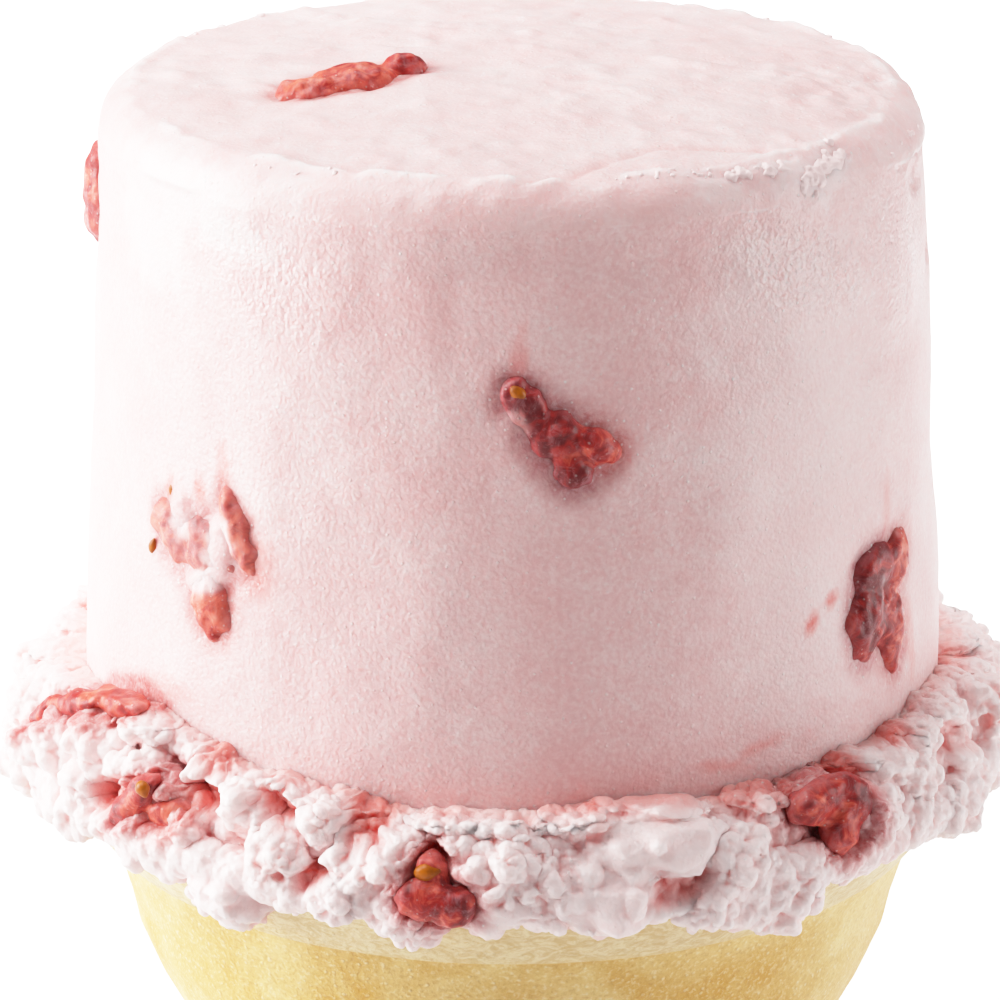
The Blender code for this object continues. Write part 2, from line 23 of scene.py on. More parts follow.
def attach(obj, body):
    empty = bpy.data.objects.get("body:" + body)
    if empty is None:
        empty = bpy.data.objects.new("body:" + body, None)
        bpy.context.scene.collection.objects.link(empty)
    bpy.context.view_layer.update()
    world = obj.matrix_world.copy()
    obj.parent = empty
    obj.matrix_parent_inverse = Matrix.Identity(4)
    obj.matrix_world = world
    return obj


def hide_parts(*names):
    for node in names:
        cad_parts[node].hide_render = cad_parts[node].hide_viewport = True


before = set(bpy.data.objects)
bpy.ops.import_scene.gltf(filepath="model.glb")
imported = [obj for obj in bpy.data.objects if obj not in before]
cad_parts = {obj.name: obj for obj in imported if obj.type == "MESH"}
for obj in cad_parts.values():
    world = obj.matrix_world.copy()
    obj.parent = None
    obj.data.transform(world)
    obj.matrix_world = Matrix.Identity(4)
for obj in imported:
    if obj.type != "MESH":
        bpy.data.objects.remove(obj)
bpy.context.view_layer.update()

MM = 0.001
BODY = "root"
MERGE_DISTANCE = 0.001 * MM
TINY = 1.0e-9
LUMP_GRAIN = 0.6
LUMP_FINE_GRAIN = 0.35
LOBE_BLEND = 1.8
LOBE_REACH = 3.0
log = logging.getLogger("ice_cream")


class Slot(Enum):
    """The record's finishes."""

    WAFER = "wafer"
    ICE_CREAM = "ice_cream"
    STRAWBERRY = "strawberry"


def place(azimuth: float, reach: float, height: float) -> Vector:
    """A point from its direction round the axis.

    Args:
        azimuth: Degrees from the front, growing towards +X.
        reach: Distance from the axis.
        height: Height over the floor.

    Returns:
        The point.
    """
    angle = math.radians(azimuth)
    return Vector((reach * math.sin(angle), -reach * math.cos(angle), height))


def blend(value: float, low: float, high: float, at_low: float, at_high: float) -> float:
    """The straight-line value between two stations, held level beyond them.

    Args:
        value: Where to read.
        low: The first station.
        high: The second station.
        at_low: The value at the first station.
        at_high: The value at the second station.

    Returns:
        The value read.
    """
    share = min(max((value - low) / (high - low), 0.0), 1.0)
    return at_low + share * (at_high - at_low)


def ease(values: np.ndarray, low: float, high: float) -> np.ndarray:
    """A smooth step from 0 at one value to 1 at another.

    Args:
        values: The numbers to step.
        low: Where the step starts.
        high: Where the step ends, which may be the smaller one.

    Returns:
        The stepped numbers.
    """
    share = np.clip((values - low) / (high - low), 0.0, 1.0)
    return share * share * (3.0 - 2.0 * share)


def hump(values: np.ndarray, middle: np.ndarray | float, width: float) -> np.ndarray:
    """A smooth hump, 1 where the values are at its middle and 0 well beyond its width."""
    return np.exp(-(((values - middle) / width) ** 2))


def ripple(points: np.ndarray, size: float, seed: float) -> np.ndarray:
    """Smooth random values between about -1 and 1 over a cloud of points.

    Args:
        points: One point a row.
        size: The size of a feature.
        seed: Which pattern.

    Returns:
        One value a point.
    """
    offset = np.array((seed, 0.37 * seed, -0.61 * seed))
    return np.array([noise.noise(spot) for spot in (points / size + offset).tolist()])


def domes(points: np.ndarray, size: float, seed: float) -> np.ndarray:
    """Round domes packed side by side over a cloud of points.

    Args:
        points: One point a row.
        size: How far apart the domes are.
        seed: Which pattern.

    Returns:
        About 0.4 on a dome's top and -0.6 between the domes.
    """
    spots = (points / size + seed).tolist()
    nearest = np.array([noise.voronoi(spot)[0][0] for spot in spots])
    return np.sqrt(np.clip(1.0 - (nearest / 0.8) ** 2, 0.0, 1.0)) - 0.6


def warped(points: np.ndarray, size: float, reach: float) -> np.ndarray:
    """A cloud of points, each shifted a little, which makes a pattern on it uneven."""
    shifts = [ripple(points, size, seed) for seed in (101.0, 103.0, 105.0)]
    return points + reach * np.stack(shifts, axis=1)


def read_points(item: bpy.types.Object) -> np.ndarray:
    """The vertices of a mesh, one point a row."""
    flat = np.empty(len(item.data.vertices) * 3, dtype=np.float32)
    item.data.vertices.foreach_get("co", flat)
    return flat.reshape(-1, 3).astype(float)


def write_points(item: bpy.types.Object, points: np.ndarray) -> None:
    """Move the vertices of a mesh to new points."""
    item.data.vertices.foreach_set("co", points.astype(np.float32).ravel())
    item.data.update()


def read_normals(item: bpy.types.Object) -> np.ndarray:
    """The direction that each vertex faces, one a row."""
    flat = np.empty(len(item.data.vertices) * 3, dtype=np.float32)
    item.data.vertex_normals.foreach_get("vector", flat)
    return flat.reshape(-1, 3).astype(float)


def write_layer(item: bpy.types.Object, name: str, values: np.ndarray) -> None:
    """Keep one number a vertex under a name that a finish reads.

    Args:
        item: The object whose mesh takes the layer.
        name: The layer's name.
        values: One number a vertex.
    """
    layer = item.data.attributes.new(name, "FLOAT", "POINT")
    layer.data.foreach_set("value", np.clip(values, 0.0, 1.0).astype(np.float32))


def write_layers(item: bpy.types.Object, shown: np.ndarray, layers: dict[str, np.ndarray]) -> None:
    """Keep several layers, with their numbers at the shown vertices and 0 at the others.

    Args:
        item: The object whose mesh takes the layers.
        shown: Which vertices are shown.
        layers: The numbers at the shown vertices, by the layer's name.
    """
    for name, values in layers.items():
        whole = np.zeros(len(shown))
        whole[shown] = values
        write_layer(item, name, whole)


def azimuths_of(points: np.ndarray) -> np.ndarray:
    """The azimuth of each point, in degrees."""
    return np.degrees(np.arctan2(points[:, 0], -points[:, 1]))


def reaches_of(points: np.ndarray) -> np.ndarray:
    """The distance of each point from the axis."""
    return np.hypot(points[:, 0], points[:, 1])


def outward_of(points: np.ndarray) -> np.ndarray:
    """The level direction from the axis to each point."""
    return points * np.array((1.0, 1.0, 0.0)) / np.maximum(reaches_of(points), TINY)[:, None]


def activate(item: bpy.types.Object) -> None:
    """Make an object the only one selected, and the active one."""
    bpy.ops.object.select_all(action="DESELECT")
    item.select_set(True)
    bpy.context.view_layer.objects.active = item


def shade_smooth(item: bpy.types.Object) -> None:
    """Shade an object's mesh smoothly."""
    activate(item)
    bpy.ops.object.shade_smooth()


def new_object(name: str, mesh: bpy.types.Mesh) -> bpy.types.Object:
    """An object with a mesh, at the origin and active."""
    item = bpy.data.objects.new(name, mesh)
    bpy.context.scene.collection.objects.link(item)
    activate(item)
    return item


def apply_modifier(item: bpy.types.Object, kind: str, **settings: object) -> None:
    """Add a modifier to an object and apply it.

    Args:
        item: The object.
        kind: The modifier's type.
        settings: The modifier's values.
    """
    activate(item)
    modifier = item.modifiers.new("shape", kind)
    for key, value in settings.items():
        setattr(modifier, key, value)
    bpy.ops.object.modifier_apply(modifier=modifier.name)


def cut(item: bpy.types.Object, tool: bpy.types.Object) -> None:
    """Take a tool's volume out of an object, after which the tool is gone."""
    apply_modifier(item, "BOOLEAN", operation="DIFFERENCE", solver="MANIFOLD", object=tool)
    bpy.data.objects.remove(tool, do_unlink=True)


def turned(name: str, outline: list[tuple[float, float]], steps: int) -> bpy.types.Object:
    """A turned solid, spun in edit mode from half of its section.

    Args:
        name: The object's name.
        outline: Radius and height of each point, run down the outer side.
        steps: How many facets go round.

    Returns:
        The closed solid.
    """
    mesh = bpy.data.meshes.new(name)
    closed = outline[0][0] > 0.0
    edges = [(index, index + 1) for index in range(len(outline) - 1)]
    if closed:
        edges.append((len(outline) - 1, 0))
    mesh.from_pydata([(radius, 0.0, height) for radius, height in outline], edges, [])
    item = new_object(name, mesh)
    bpy.ops.object.mode_set(mode="EDIT")
    bpy.ops.mesh.select_all(action="SELECT")
    bpy.ops.mesh.spin(steps=steps, angle=math.tau, center=(0.0, 0.0, 0.0), axis=(0.0, 0.0, 1.0))
    bpy.ops.mesh.select_all(action="SELECT")
    bpy.ops.mesh.remove_doubles(threshold=MERGE_DISTANCE)
    bpy.ops.mesh.normals_make_consistent(inside=False)
    bpy.ops.object.mode_set(mode="OBJECT")
    shade_smooth(item)
    return item


class Ball:
    """A round starting shape, whose points are copied wherever a lump is wanted."""

    def __init__(self, subdivisions: int) -> None:
        """Model the ball once and keep its points and faces.

        Args:
            subdivisions: How fine the ball is.
        """
        bpy.ops.object.select_all(action="DESELECT")
        bpy.ops.mesh.primitive_ico_sphere_add(subdivisions=subdivisions, radius=1.0)
        item = bpy.context.active_object
        self.points = read_points(item)
        self.faces = np.array([face.vertices[:] for face in item.data.polygons])
        bpy.data.objects.remove(item, do_unlink=True)


@dataclass
class Heap:
    """Many lumps gathered into one mesh."""

    points: list[np.ndarray] = field(default_factory=list)
    faces: list[np.ndarray] = field(default_factory=list)
    count: int = 0

    def add(self, ball: Ball, matrix: Matrix, halves: tuple[float, float, float]) -> None:
        """Put a smooth ball into the heap.

        Args:
            ball: The ball that is copied.
            matrix: Where it stands and how it is turned.
            halves: Its half sizes.
        """
        self.add_points(ball, ball.points * np.array(halves), matrix)

    def add_lump(
        self, ball: Ball, matrix: Matrix, halves: tuple[float, float, float], uneven: float, seed: float
    ) -> None:
        """Put an uneven lump into the heap.

        Args:
            ball: The ball that is copied.
            matrix: Where it stands and how it is turned.
            halves: Its half sizes.
            uneven: How far it strays from round, as a share of its size.
            seed: Which lump.
        """
        mean = sum(halves) / 3.0
        swell = 1.0 + uneven * ripple(ball.points, LUMP_GRAIN, seed)
        points = ball.points * np.array(halves) * swell[:, None]
        outward = points / np.linalg.norm(points, axis=1)[:, None]
        fine = mean * uneven * ripple(points / mean, LUMP_FINE_GRAIN, seed + 5.0)
        self.add_points(ball, points + outward * fine[:, None], matrix)

    def add_points(self, ball: Ball, points: np.ndarray, matrix: Matrix) -> None:
        """Put a ball's moved points into the heap."""
        turn = np.array(matrix.to_3x3())
        self.points.append(points @ turn.T + np.array(matrix.translation))
        self.faces.append(ball.faces + self.count)
        self.count += len(points)

    def make(self, name: str) -> bpy.types.Object:
        """One object with all the lumps in it."""
        mesh = bpy.data.meshes.new(name)
        points = np.concatenate(self.points)
        mesh.from_pydata(points.tolist(), [], np.concatenate(self.faces).tolist())
        return new_object(name, mesh)


class Value:
    """A shader socket that takes part in sums written as Python expressions."""

    def __init__(self, tree: bpy.types.NodeTree, socket: bpy.types.NodeSocket) -> None:
        """Wrap a socket of a node tree."""
        self.tree = tree
        self.socket = socket

    def _math(self, operation: str, *operands: Value | float) -> Value:
        """Add a Math node on some operands and wrap its result."""
        node = self.tree.nodes.new("ShaderNodeMath")
        node.operation = operation
        for socket, operand in zip(node.inputs, operands):
            if isinstance(operand, Value):
                self.tree.links.new(operand.socket, socket)
            else:
                socket.default_value = operand
        return Value(self.tree, node.outputs["Value"])

    def __add__(self, other: Value | float) -> Value:
        """The sum."""
        return self._math("ADD", self, other)

    __radd__ = __add__

    def __mul__(self, other: Value | float) -> Value:
        """The product."""
        return self._math("MULTIPLY", self, other)

    __rmul__ = __mul__

    def __sub__(self, other: Value | float) -> Value:
        """The difference."""
        return self._math("SUBTRACT", self, other)

    def __rsub__(self, other: Value | float) -> Value:
        """The difference the other way round."""
        return self._math("SUBTRACT", other, self)

    def __truediv__(self, other: Value | float) -> Value:
        """The quotient."""
        return self._math("DIVIDE", self, other)

    def held(self) -> Value:
        """The value held between 0 and 1."""
        return self._math("MINIMUM", self._math("MAXIMUM", self, 0.0), 1.0)

    def rise(self, low: float, high: float) -> Value:
        """A straight rise from 0 at one value to 1 at another, held beyond them."""
        return ((self - low) / (high - low)).held()


Colour = tuple[float, float, float]


class Bench:
    """Where one material's nodes are made and joined."""

    def __init__(self, name: str) -> None:
        """Start a material with a Principled shader."""
        self.material = bpy.data.materials.new(name)
        self.material.use_nodes = True
        self.tree = self.material.node_tree
        self.shader = self.tree.nodes["Principled BSDF"]
        self.spot = self.node("ShaderNodeTexCoord", {}, {}).outputs["Object"]

    def node(self, kind: str, settings: dict, inputs: dict) -> bpy.types.Node:
        """Add one node.

        Args:
            kind: The node's type.
            settings: Its own settings, with a ramp's stops under "stops".
            inputs: Values, links or wrapped sockets for its inputs.

        Returns:
            The node.
        """
        node = self.tree.nodes.new(kind)
        for key, value in settings.items():
            if key == "stops":
                self._set_stops(node, value)
            else:
                setattr(node, key, value)
        for key, value in inputs.items():
            socket = node.inputs[key]
            if isinstance(value, Value):
                self.tree.links.new(value.socket, socket)
            elif isinstance(value, bpy.types.NodeSocket):
                self.tree.links.new(value, socket)
            else:
                socket.default_value = value
        return node

    def _set_stops(self, node: bpy.types.Node, stops: tuple) -> None:
        """Give a ramp its stops."""
        elements = node.color_ramp.elements
        while len(elements) < len(stops):
            elements.new(1.0)
        for element, (position, colour) in zip(elements, stops):
            element.position = position
            element.color = (*colour, 1.0)

    def stretch(self, x: float, y: float, z: float) -> bpy.types.NodeSocket:
        """The object's coordinates, each scaled by its own factor."""
        node = self.node("ShaderNodeMapping", {}, {"Vector": self.spot, "Scale": (x, y, z)})
        return node.outputs["Vector"]

    def cloud(
        self,
        size: float,
        detail: float = 2.0,
        rough: float = 0.5,
        bend: float = 0.0,
        where: bpy.types.NodeSocket | None = None,
    ) -> Value:
        """A soft noise between 0 and 1.

        Args:
            size: The size of a feature in metres.
            detail: How many finer layers it has.
            rough: How strong the finer layers are.
            bend: How far it is distorted.
            where: Other coordinates than the object's own.

        Returns:
            The noise.
        """
        inputs = {"Scale": 1.0 / size, "Detail": detail, "Roughness": rough, "Distortion": bend}
        inputs["Vector"] = where or self.spot
        return Value(self.tree, self.node("ShaderNodeTexNoise", {}, inputs).outputs["Fac"])

    def cells(self, size: float) -> tuple[Value, Value]:
        """Scattered cells: the distance to each one's middle and a random value for each."""
        inputs = {"Scale": 1.0 / size, "Randomness": 1.0, "Vector": self.spot}
        node = self.node("ShaderNodeTexVoronoi", {}, inputs)
        split = self.node("ShaderNodeSeparateColor", {}, {"Color": node.outputs["Color"]})
        return Value(self.tree, node.outputs["Distance"]), Value(self.tree, split.outputs["Red"])

    def grains(
        self, size: float, edge: tuple[float, float], choice: tuple[float, float]
    ) -> Value:
        """Some of the cells as small round grains.

        Args:
            size: How far apart the cells are.
            edge: Where a grain fades out and where it is full.
            choice: The random value from which a cell shows, and where it shows fully.

        Returns:
            1 in the middle of a grain and 0 elsewhere.
        """
        distance, chance = self.cells(size)
        return distance.rise(*edge) * chance.rise(*choice)

    def layer(self, name: str) -> Value:
        """A number kept at each vertex."""
        node = self.node("ShaderNodeAttribute", {"attribute_name": name}, {})
        return Value(self.tree, node.outputs["Fac"])

    def mix(self, share: Value, low: object, high: object) -> bpy.types.NodeSocket:
        """A colour between two, by a share.

        Args:
            share: 0 for the first and 1 for the second.
            low: The first colour or its link.
            high: The second colour or its link.

        Returns:
            The mixed colour.
        """
        colours = [(*end, 1.0) if isinstance(end, tuple) else end for end in (low, high)]
        inputs = {0: share, 6: colours[0], 7: colours[1]}
        return self.node("ShaderNodeMix", {"data_type": "RGBA"}, inputs).outputs[2]

    def ramp(self, share: Value, stops: tuple) -> bpy.types.NodeSocket:
        """A colour read from stops by a share."""
        return self.node("ShaderNodeValToRGB", {"stops": stops}, {"Fac": share}).outputs["Color"]

    def bump(self, height: Value, depth: float) -> None:
        """Make the surface rise by a height between 0 and 1, times a depth in metres."""
        inputs = {"Height": height, "Distance": depth, "Strength": 1.0}
        normal = self.node("ShaderNodeBump", {}, inputs).outputs["Normal"]
        self.tree.links.new(normal, self.shader.inputs["Normal"])

    def glow(self, weight: float, spread: Colour, depth: float) -> None:
        """Let light travel under the surface, by a share, a reach for each colour and a depth."""
        self.feed("Subsurface Weight", weight)
        self.feed("Subsurface Radius", spread)
        self.feed("Subsurface Scale", depth)

    def feed(self, name: str, value: object) -> None:
        """Set or link one of the shader's inputs."""
        socket = self.shader.inputs[name]
        if isinstance(value, Value):
            self.tree.links.new(value.socket, socket)
        elif isinstance(value, bpy.types.NodeSocket):
            self.tree.links.new(value, socket)
        else:
            socket.default_value = value


@dataclass(frozen=True)
class IceCreamFinish:
    """Frozen strawberry cream: pink and grainy, frosted, and stained red near the fruit, with painted
    shade in its creases and crevices and painted light on the skirt's lumps and the scoop's right side.
    """

    pink: Colour = (0.872, 0.528, 0.520)
    pale: Colour = (0.922, 0.645, 0.635)
    shade: Colour = (0.78, 0.40, 0.40)
    frost: Colour = (0.985, 0.75, 0.74)
    ice: Colour = (0.98, 0.93, 0.92)
    juice: Colour = (0.80, 0.13, 0.10)
    wine: Colour = (0.46, 0.13, 0.15)
    # deep: the deeper pink painted into the skirt's crevices and low spots as painted shade.
    deep: Colour = (0.96, 0.52, 0.49)
    grain: float = 0.30 * MM
    cloud: float = 5.0 * MM
    roughness: float = 0.44
    name: str = "strawberry_ice_cream"
    glow: float = 1.5 * MM
    spread: Colour = (1.0, 0.5, 0.45)
    crumbly: bool = False
    translucence: float = 0.7
    depth: float = 0.17 * MM

    def make(self) -> bpy.types.Material:
        """Build the material."""
        bench = Bench(self.name)
        broad = bench.cloud(self.cloud, 4.0, 0.6, 0.4)
        middle = bench.cloud(1.3 * MM, 3.0, 0.6)
        fine = bench.cloud(self.grain, 2.0, 0.6)
        feather = bench.cloud(0.75 * MM, 4.0, 0.7, 0.8)
        drops = bench.cloud(0.36 * MM, 1.0, 0.4, 0.3)
        pebble, _ = bench.cells(0.27 * MM)
        calm = bench.layer("calm")
        speck = bench.grains(0.42 * MM, (0.26, 0.10), (0.55, 0.95))
        froth_and_painted_light = bench.layer("froth_and_painted_light")
        wet = bench.layer("wet")
        near = bench.layer("near")
        colour = bench.mix(broad.rise(0.36, 0.66), self.pink, self.pale)
        # Painted shade in the creases between the small raised cells, with a fine grain darker at
        # random; less on the calm top.
        grain_and_crease_shade = pebble.rise(0.40, 0.70) * 0.22 + fine.rise(0.56, 0.36) * 0.34
        colour = bench.mix((grain_and_crease_shade * (1.0 - 0.6 * calm)).held(), colour, self.shade)
        colour = bench.mix(fine.rise(0.54, 0.72) * 0.32, colour, self.frost)
        # Frost patches, and painted light: paler outer lumps on the skirt and a painted sheen over the
        # scoop's right side.
        colour = bench.mix((froth_and_painted_light * (0.60 + 0.6 * middle)).held(), colour, self.frost)
        # Painted shade: the skirt's crevices and low spots are tinted a deeper pink.
        colour = bench.mix((bench.layer("crevice_shade") * (0.5 + middle)).held(), colour, self.deep)
        tint = bench.layer("tint")
        bleed = bench.mix(tint, self.wine, self.juice)
        close = near * near * (0.35 + 0.65 * feather.rise(0.30, 0.62))
        colour = bench.mix(close * 0.95, colour, bleed)
        # Red stains, with painted shade in the top's crease and in the skirt's recesses.
        stain_and_shade = bench.layer("stain_and_shade") * (0.35 + 1.3 * feather)
        colour = bench.mix(stain_and_shade.held(), colour, self.juice)
        # White frost specks, more near the fruit and in the wet patches, where they are painted glints.
        colour = bench.mix(speck * (0.35 + 0.35 * near + 0.2 * wet), colour, self.ice)
        bench.feed("Base Color", colour)
        rough = self.roughness + 0.25 * (fine - 0.5) - 0.18 * wet - 0.1 * near
        bench.feed("Roughness", rough.held())
        bench.glow(self.translucence, self.spread, self.glow)
        bench.feed("Sheen Weight", 0.10)
        bench.feed("Sheen Roughness", 0.6)
        height = fine * 0.30 + middle * 0.35 + speck * 0.30 + wet * wet * drops
        height = height + (1.0 - pebble) * (0.20 - 0.15 * calm)
        if self.crumbly:
            knob, _ = bench.cells(0.62 * MM)
            height = height + (1.0 - knob) * bench.layer("crumb") * 0.35
        bench.bump(height, self.depth)
        return bench.material


@dataclass(frozen=True)
class WaferFinish:
    """Baked wafer: mottled gold crumb, with a paler fibrous band and tiny bright grains."""

    gold: Colour = (0.63, 0.315, 0.042)
    straw: Colour = (0.88, 0.62, 0.25)
    band: Colour = (0.66, 0.44, 0.20)
    band_pale: Colour = (0.84, 0.66, 0.39)
    toast: Colour = (0.46, 0.21, 0.03)
    crust: Colour = (0.94, 0.77, 0.45)
    roughness: float = 0.6
    depth: float = 0.15 * MM

    def make(self) -> bpy.types.Material:
        """Build the material."""
        bench = Bench("baked_wafer")
        broad = bench.cloud(9.0 * MM, 2.0, 0.5, 0.5)
        mottle = bench.cloud(2.6 * MM, 4.0, 0.65, 0.6)
        grain = bench.cloud(0.30 * MM, 2.0, 0.6, 0.3)
        fibre = bench.cloud(1.3 * MM, 4.0, 0.7, 1.6, bench.stretch(1.0, 1.0, 1.5))
        speck = bench.grains(0.5 * MM, (0.30, 0.12), (0.35, 0.7))
        patch = broad * 0.6 + mottle * 0.4
        bowl = bench.mix(patch.rise(0.34, 0.66), self.gold, self.straw)
        bowl = bench.mix(grain.rise(0.48, 0.30) * 0.40, bowl, self.toast)
        bowl = bench.mix(grain.rise(0.54, 0.70) * 0.45, bowl, self.crust)
        bowl = bench.mix(speck * 0.45, bowl, self.crust)
        band = bench.mix(fibre.rise(0.38, 0.60), self.band, self.band_pale)
        band = bench.mix(grain.rise(0.50, 0.32) * 0.22, band, self.gold)
        bench.feed("Base Color", bench.mix(bench.layer("band"), bowl, band))
        bench.feed("Roughness", (self.roughness + 0.3 * (grain - 0.5)).held())
        bench.glow(0.15, (1.0, 0.6, 0.3), 0.6 * MM)
        bench.bump(grain * 0.6 + fibre * 0.4 + mottle * 0.4 + speck * 0.3, self.depth)
        return bench.material


@dataclass(frozen=True)
class StrawberryFinish:
    """Cold wet strawberry: maroon to coral flesh that fades into the cream at its edge."""

    maroon: Colour = (0.17, 0.010, 0.012)
    red: Colour = (0.42, 0.022, 0.018)
    coral: Colour = (0.80, 0.14, 0.085)
    pale: Colour = (0.86, 0.26, 0.19)
    film: Colour = (0.47, 0.20, 0.22)
    wine: Colour = (0.34, 0.07, 0.09)
    juice: Colour = (0.80, 0.15, 0.11)
    cream: Colour = (0.90, 0.58, 0.57)
    ice: Colour = (0.93, 0.76, 0.74)
    roughness: float = 0.42
    depth: float = 0.08 * MM

    def make(self) -> bpy.types.Material:
        """Build the material."""
        bench = Bench("strawberry_flesh")
        patch = bench.cloud(1.3 * MM, 3.0, 0.65, 0.8)
        frost = bench.cloud(0.9 * MM, 4.0, 0.75, 1.0)
        feather = bench.cloud(0.75 * MM, 4.0, 0.7, 0.8)
        fine = bench.cloud(0.3 * MM, 2.0, 0.6)
        glint = bench.grains(0.36 * MM, (0.26, 0.10), (0.5, 0.9))
        bright = bench.layer("bright")
        cream = bench.layer("cream")
        edge = bench.layer("edge")
        stops = ((0.28, self.maroon), (0.46, self.red), (0.64, self.coral), (0.82, self.pale))
        colour = bench.ramp((patch + 0.55 * (bright - 0.5)).held(), stops)
        colour = bench.mix(frost.rise(0.50, 0.70) * (0.60 - 0.35 * bright), colour, self.film)
        rim = bench.mix(bright, self.wine, self.juice)
        blur = feather.rise(0.62, 0.34)
        colour = bench.mix((edge.rise(0.1, 0.7) * (0.3 + 0.7 * blur)).held(), colour, rim)
        colour = bench.mix(edge.rise(0.6, 1.0) * (0.05 + 0.45 * blur) * bright, colour, self.cream)
        colour = bench.mix((cream * (0.4 + 1.2 * frost)).held(), colour, self.cream)
        colour = bench.mix(glint * (0.25 + 0.4 * edge), colour, self.ice)
        bench.feed("Base Color", colour)
        bench.feed("Roughness", (self.roughness + 0.5 * (frost - 0.4) + 0.15 * cream).held())
        bench.feed("Coat Weight", 0.14)
        bench.feed("Coat Roughness", 0.10)
        bench.feed("Specular IOR Level", 0.3)
        bench.glow(0.5, (1.0, 0.2, 0.15), 0.6 * MM)
        bench.bump(fine * 0.4 + frost * 0.8 + glint * 0.6, self.depth)
        return bench.material


@dataclass(frozen=True)
class SeedFinish:
    """A strawberry's seed: amber with a darker tip."""

    amber: Colour = (0.50, 0.12, 0.002)
    brown: Colour = (0.22, 0.05, 0.004)

    def make(self) -> bpy.types.Material:
        """Build the material."""
        bench = Bench("strawberry_seed")
        patch = bench.cloud(0.8 * MM, 3.0, 0.6)
        bench.feed("Base Color", bench.mix(patch.rise(0.4, 0.7), self.amber, self.brown))
        bench.feed("Roughness", (0.25 + 0.2 * patch).held())
        bench.feed("Specular IOR Level", 0.3)
        bench.bump(patch, 0.04 * MM)
        return bench.material


@dataclass(frozen=True)
class FloorFinish:
    """The plain pale floor."""

    colour: Colour = (0.74, 0.74, 0.74)

    def make(self) -> bpy.types.Material:
        """Build the material."""
        bench = Bench("pale_floor")
        tone = bench.cloud(0.2, 1.0)
        pale = tuple(value * 1.01 for value in self.colour)
        bench.feed("Base Color", bench.mix(tone, self.colour, pale))
        bench.feed("Roughness", 0.9)
        return bench.material


@dataclass(frozen=True)
class Patch:
    """A soft oval on the round side, by its place, its half sizes in mm and its tilt."""

    azimuth: float
    height: float
    along: float
    across: float
    turn: float = 0.0
    strength: float = 1.0

    def cover(self, points: np.ndarray, fray: np.ndarray) -> np.ndarray:
        """How much of the patch lies on each point.

        Args:
            points: One point a row.
            fray: What is added to the distance at each point, which makes the edge uneven.

        Returns:
            0 outside and the strength in the middle.
        """
        turn = (azimuths_of(points) - self.azimuth + 180.0) % 360.0 - 180.0
        across_side = np.radians(turn) * reaches_of(points) / MM
        up_side = points[:, 2] / MM - self.height
        angle = math.radians(self.turn)
        along = across_side * math.cos(angle) - up_side * math.sin(angle)
        across = across_side * math.sin(angle) + up_side * math.cos(angle)
        distance = np.hypot(along / self.along, across / self.across) + fray
        return self.strength * ease(distance, 1.3, 0.5)


def fray_of(points: np.ndarray) -> np.ndarray:
    """The unevenness that patches and fruit edges share."""
    return 0.30 * ripple(points, 1.2 * MM, 31.0) + 0.15 * ripple(points, 0.5 * MM, 33.0)


@dataclass(frozen=True)
class Wave:
    """A layer of soft unevenness: its depth and its feature's size in mm, and its pattern."""

    depth: float
    size: float
    seed: float


def waves_of(waves: tuple[Wave, ...], points: np.ndarray) -> np.ndarray:
    """How far several layers of unevenness lift each point together."""
    lift = np.zeros(len(points))
    for wave in waves:
        lift += wave.depth * MM * ripple(points, wave.size * MM, wave.seed)
    return lift


def cover_of(patches: tuple[Patch, ...], points: np.ndarray, fray: np.ndarray) -> np.ndarray:
    """The strongest patch at each point."""
    best = np.zeros(len(points))
    for patch in patches:
        best = np.maximum(best, patch.cover(points, fray))
    return best


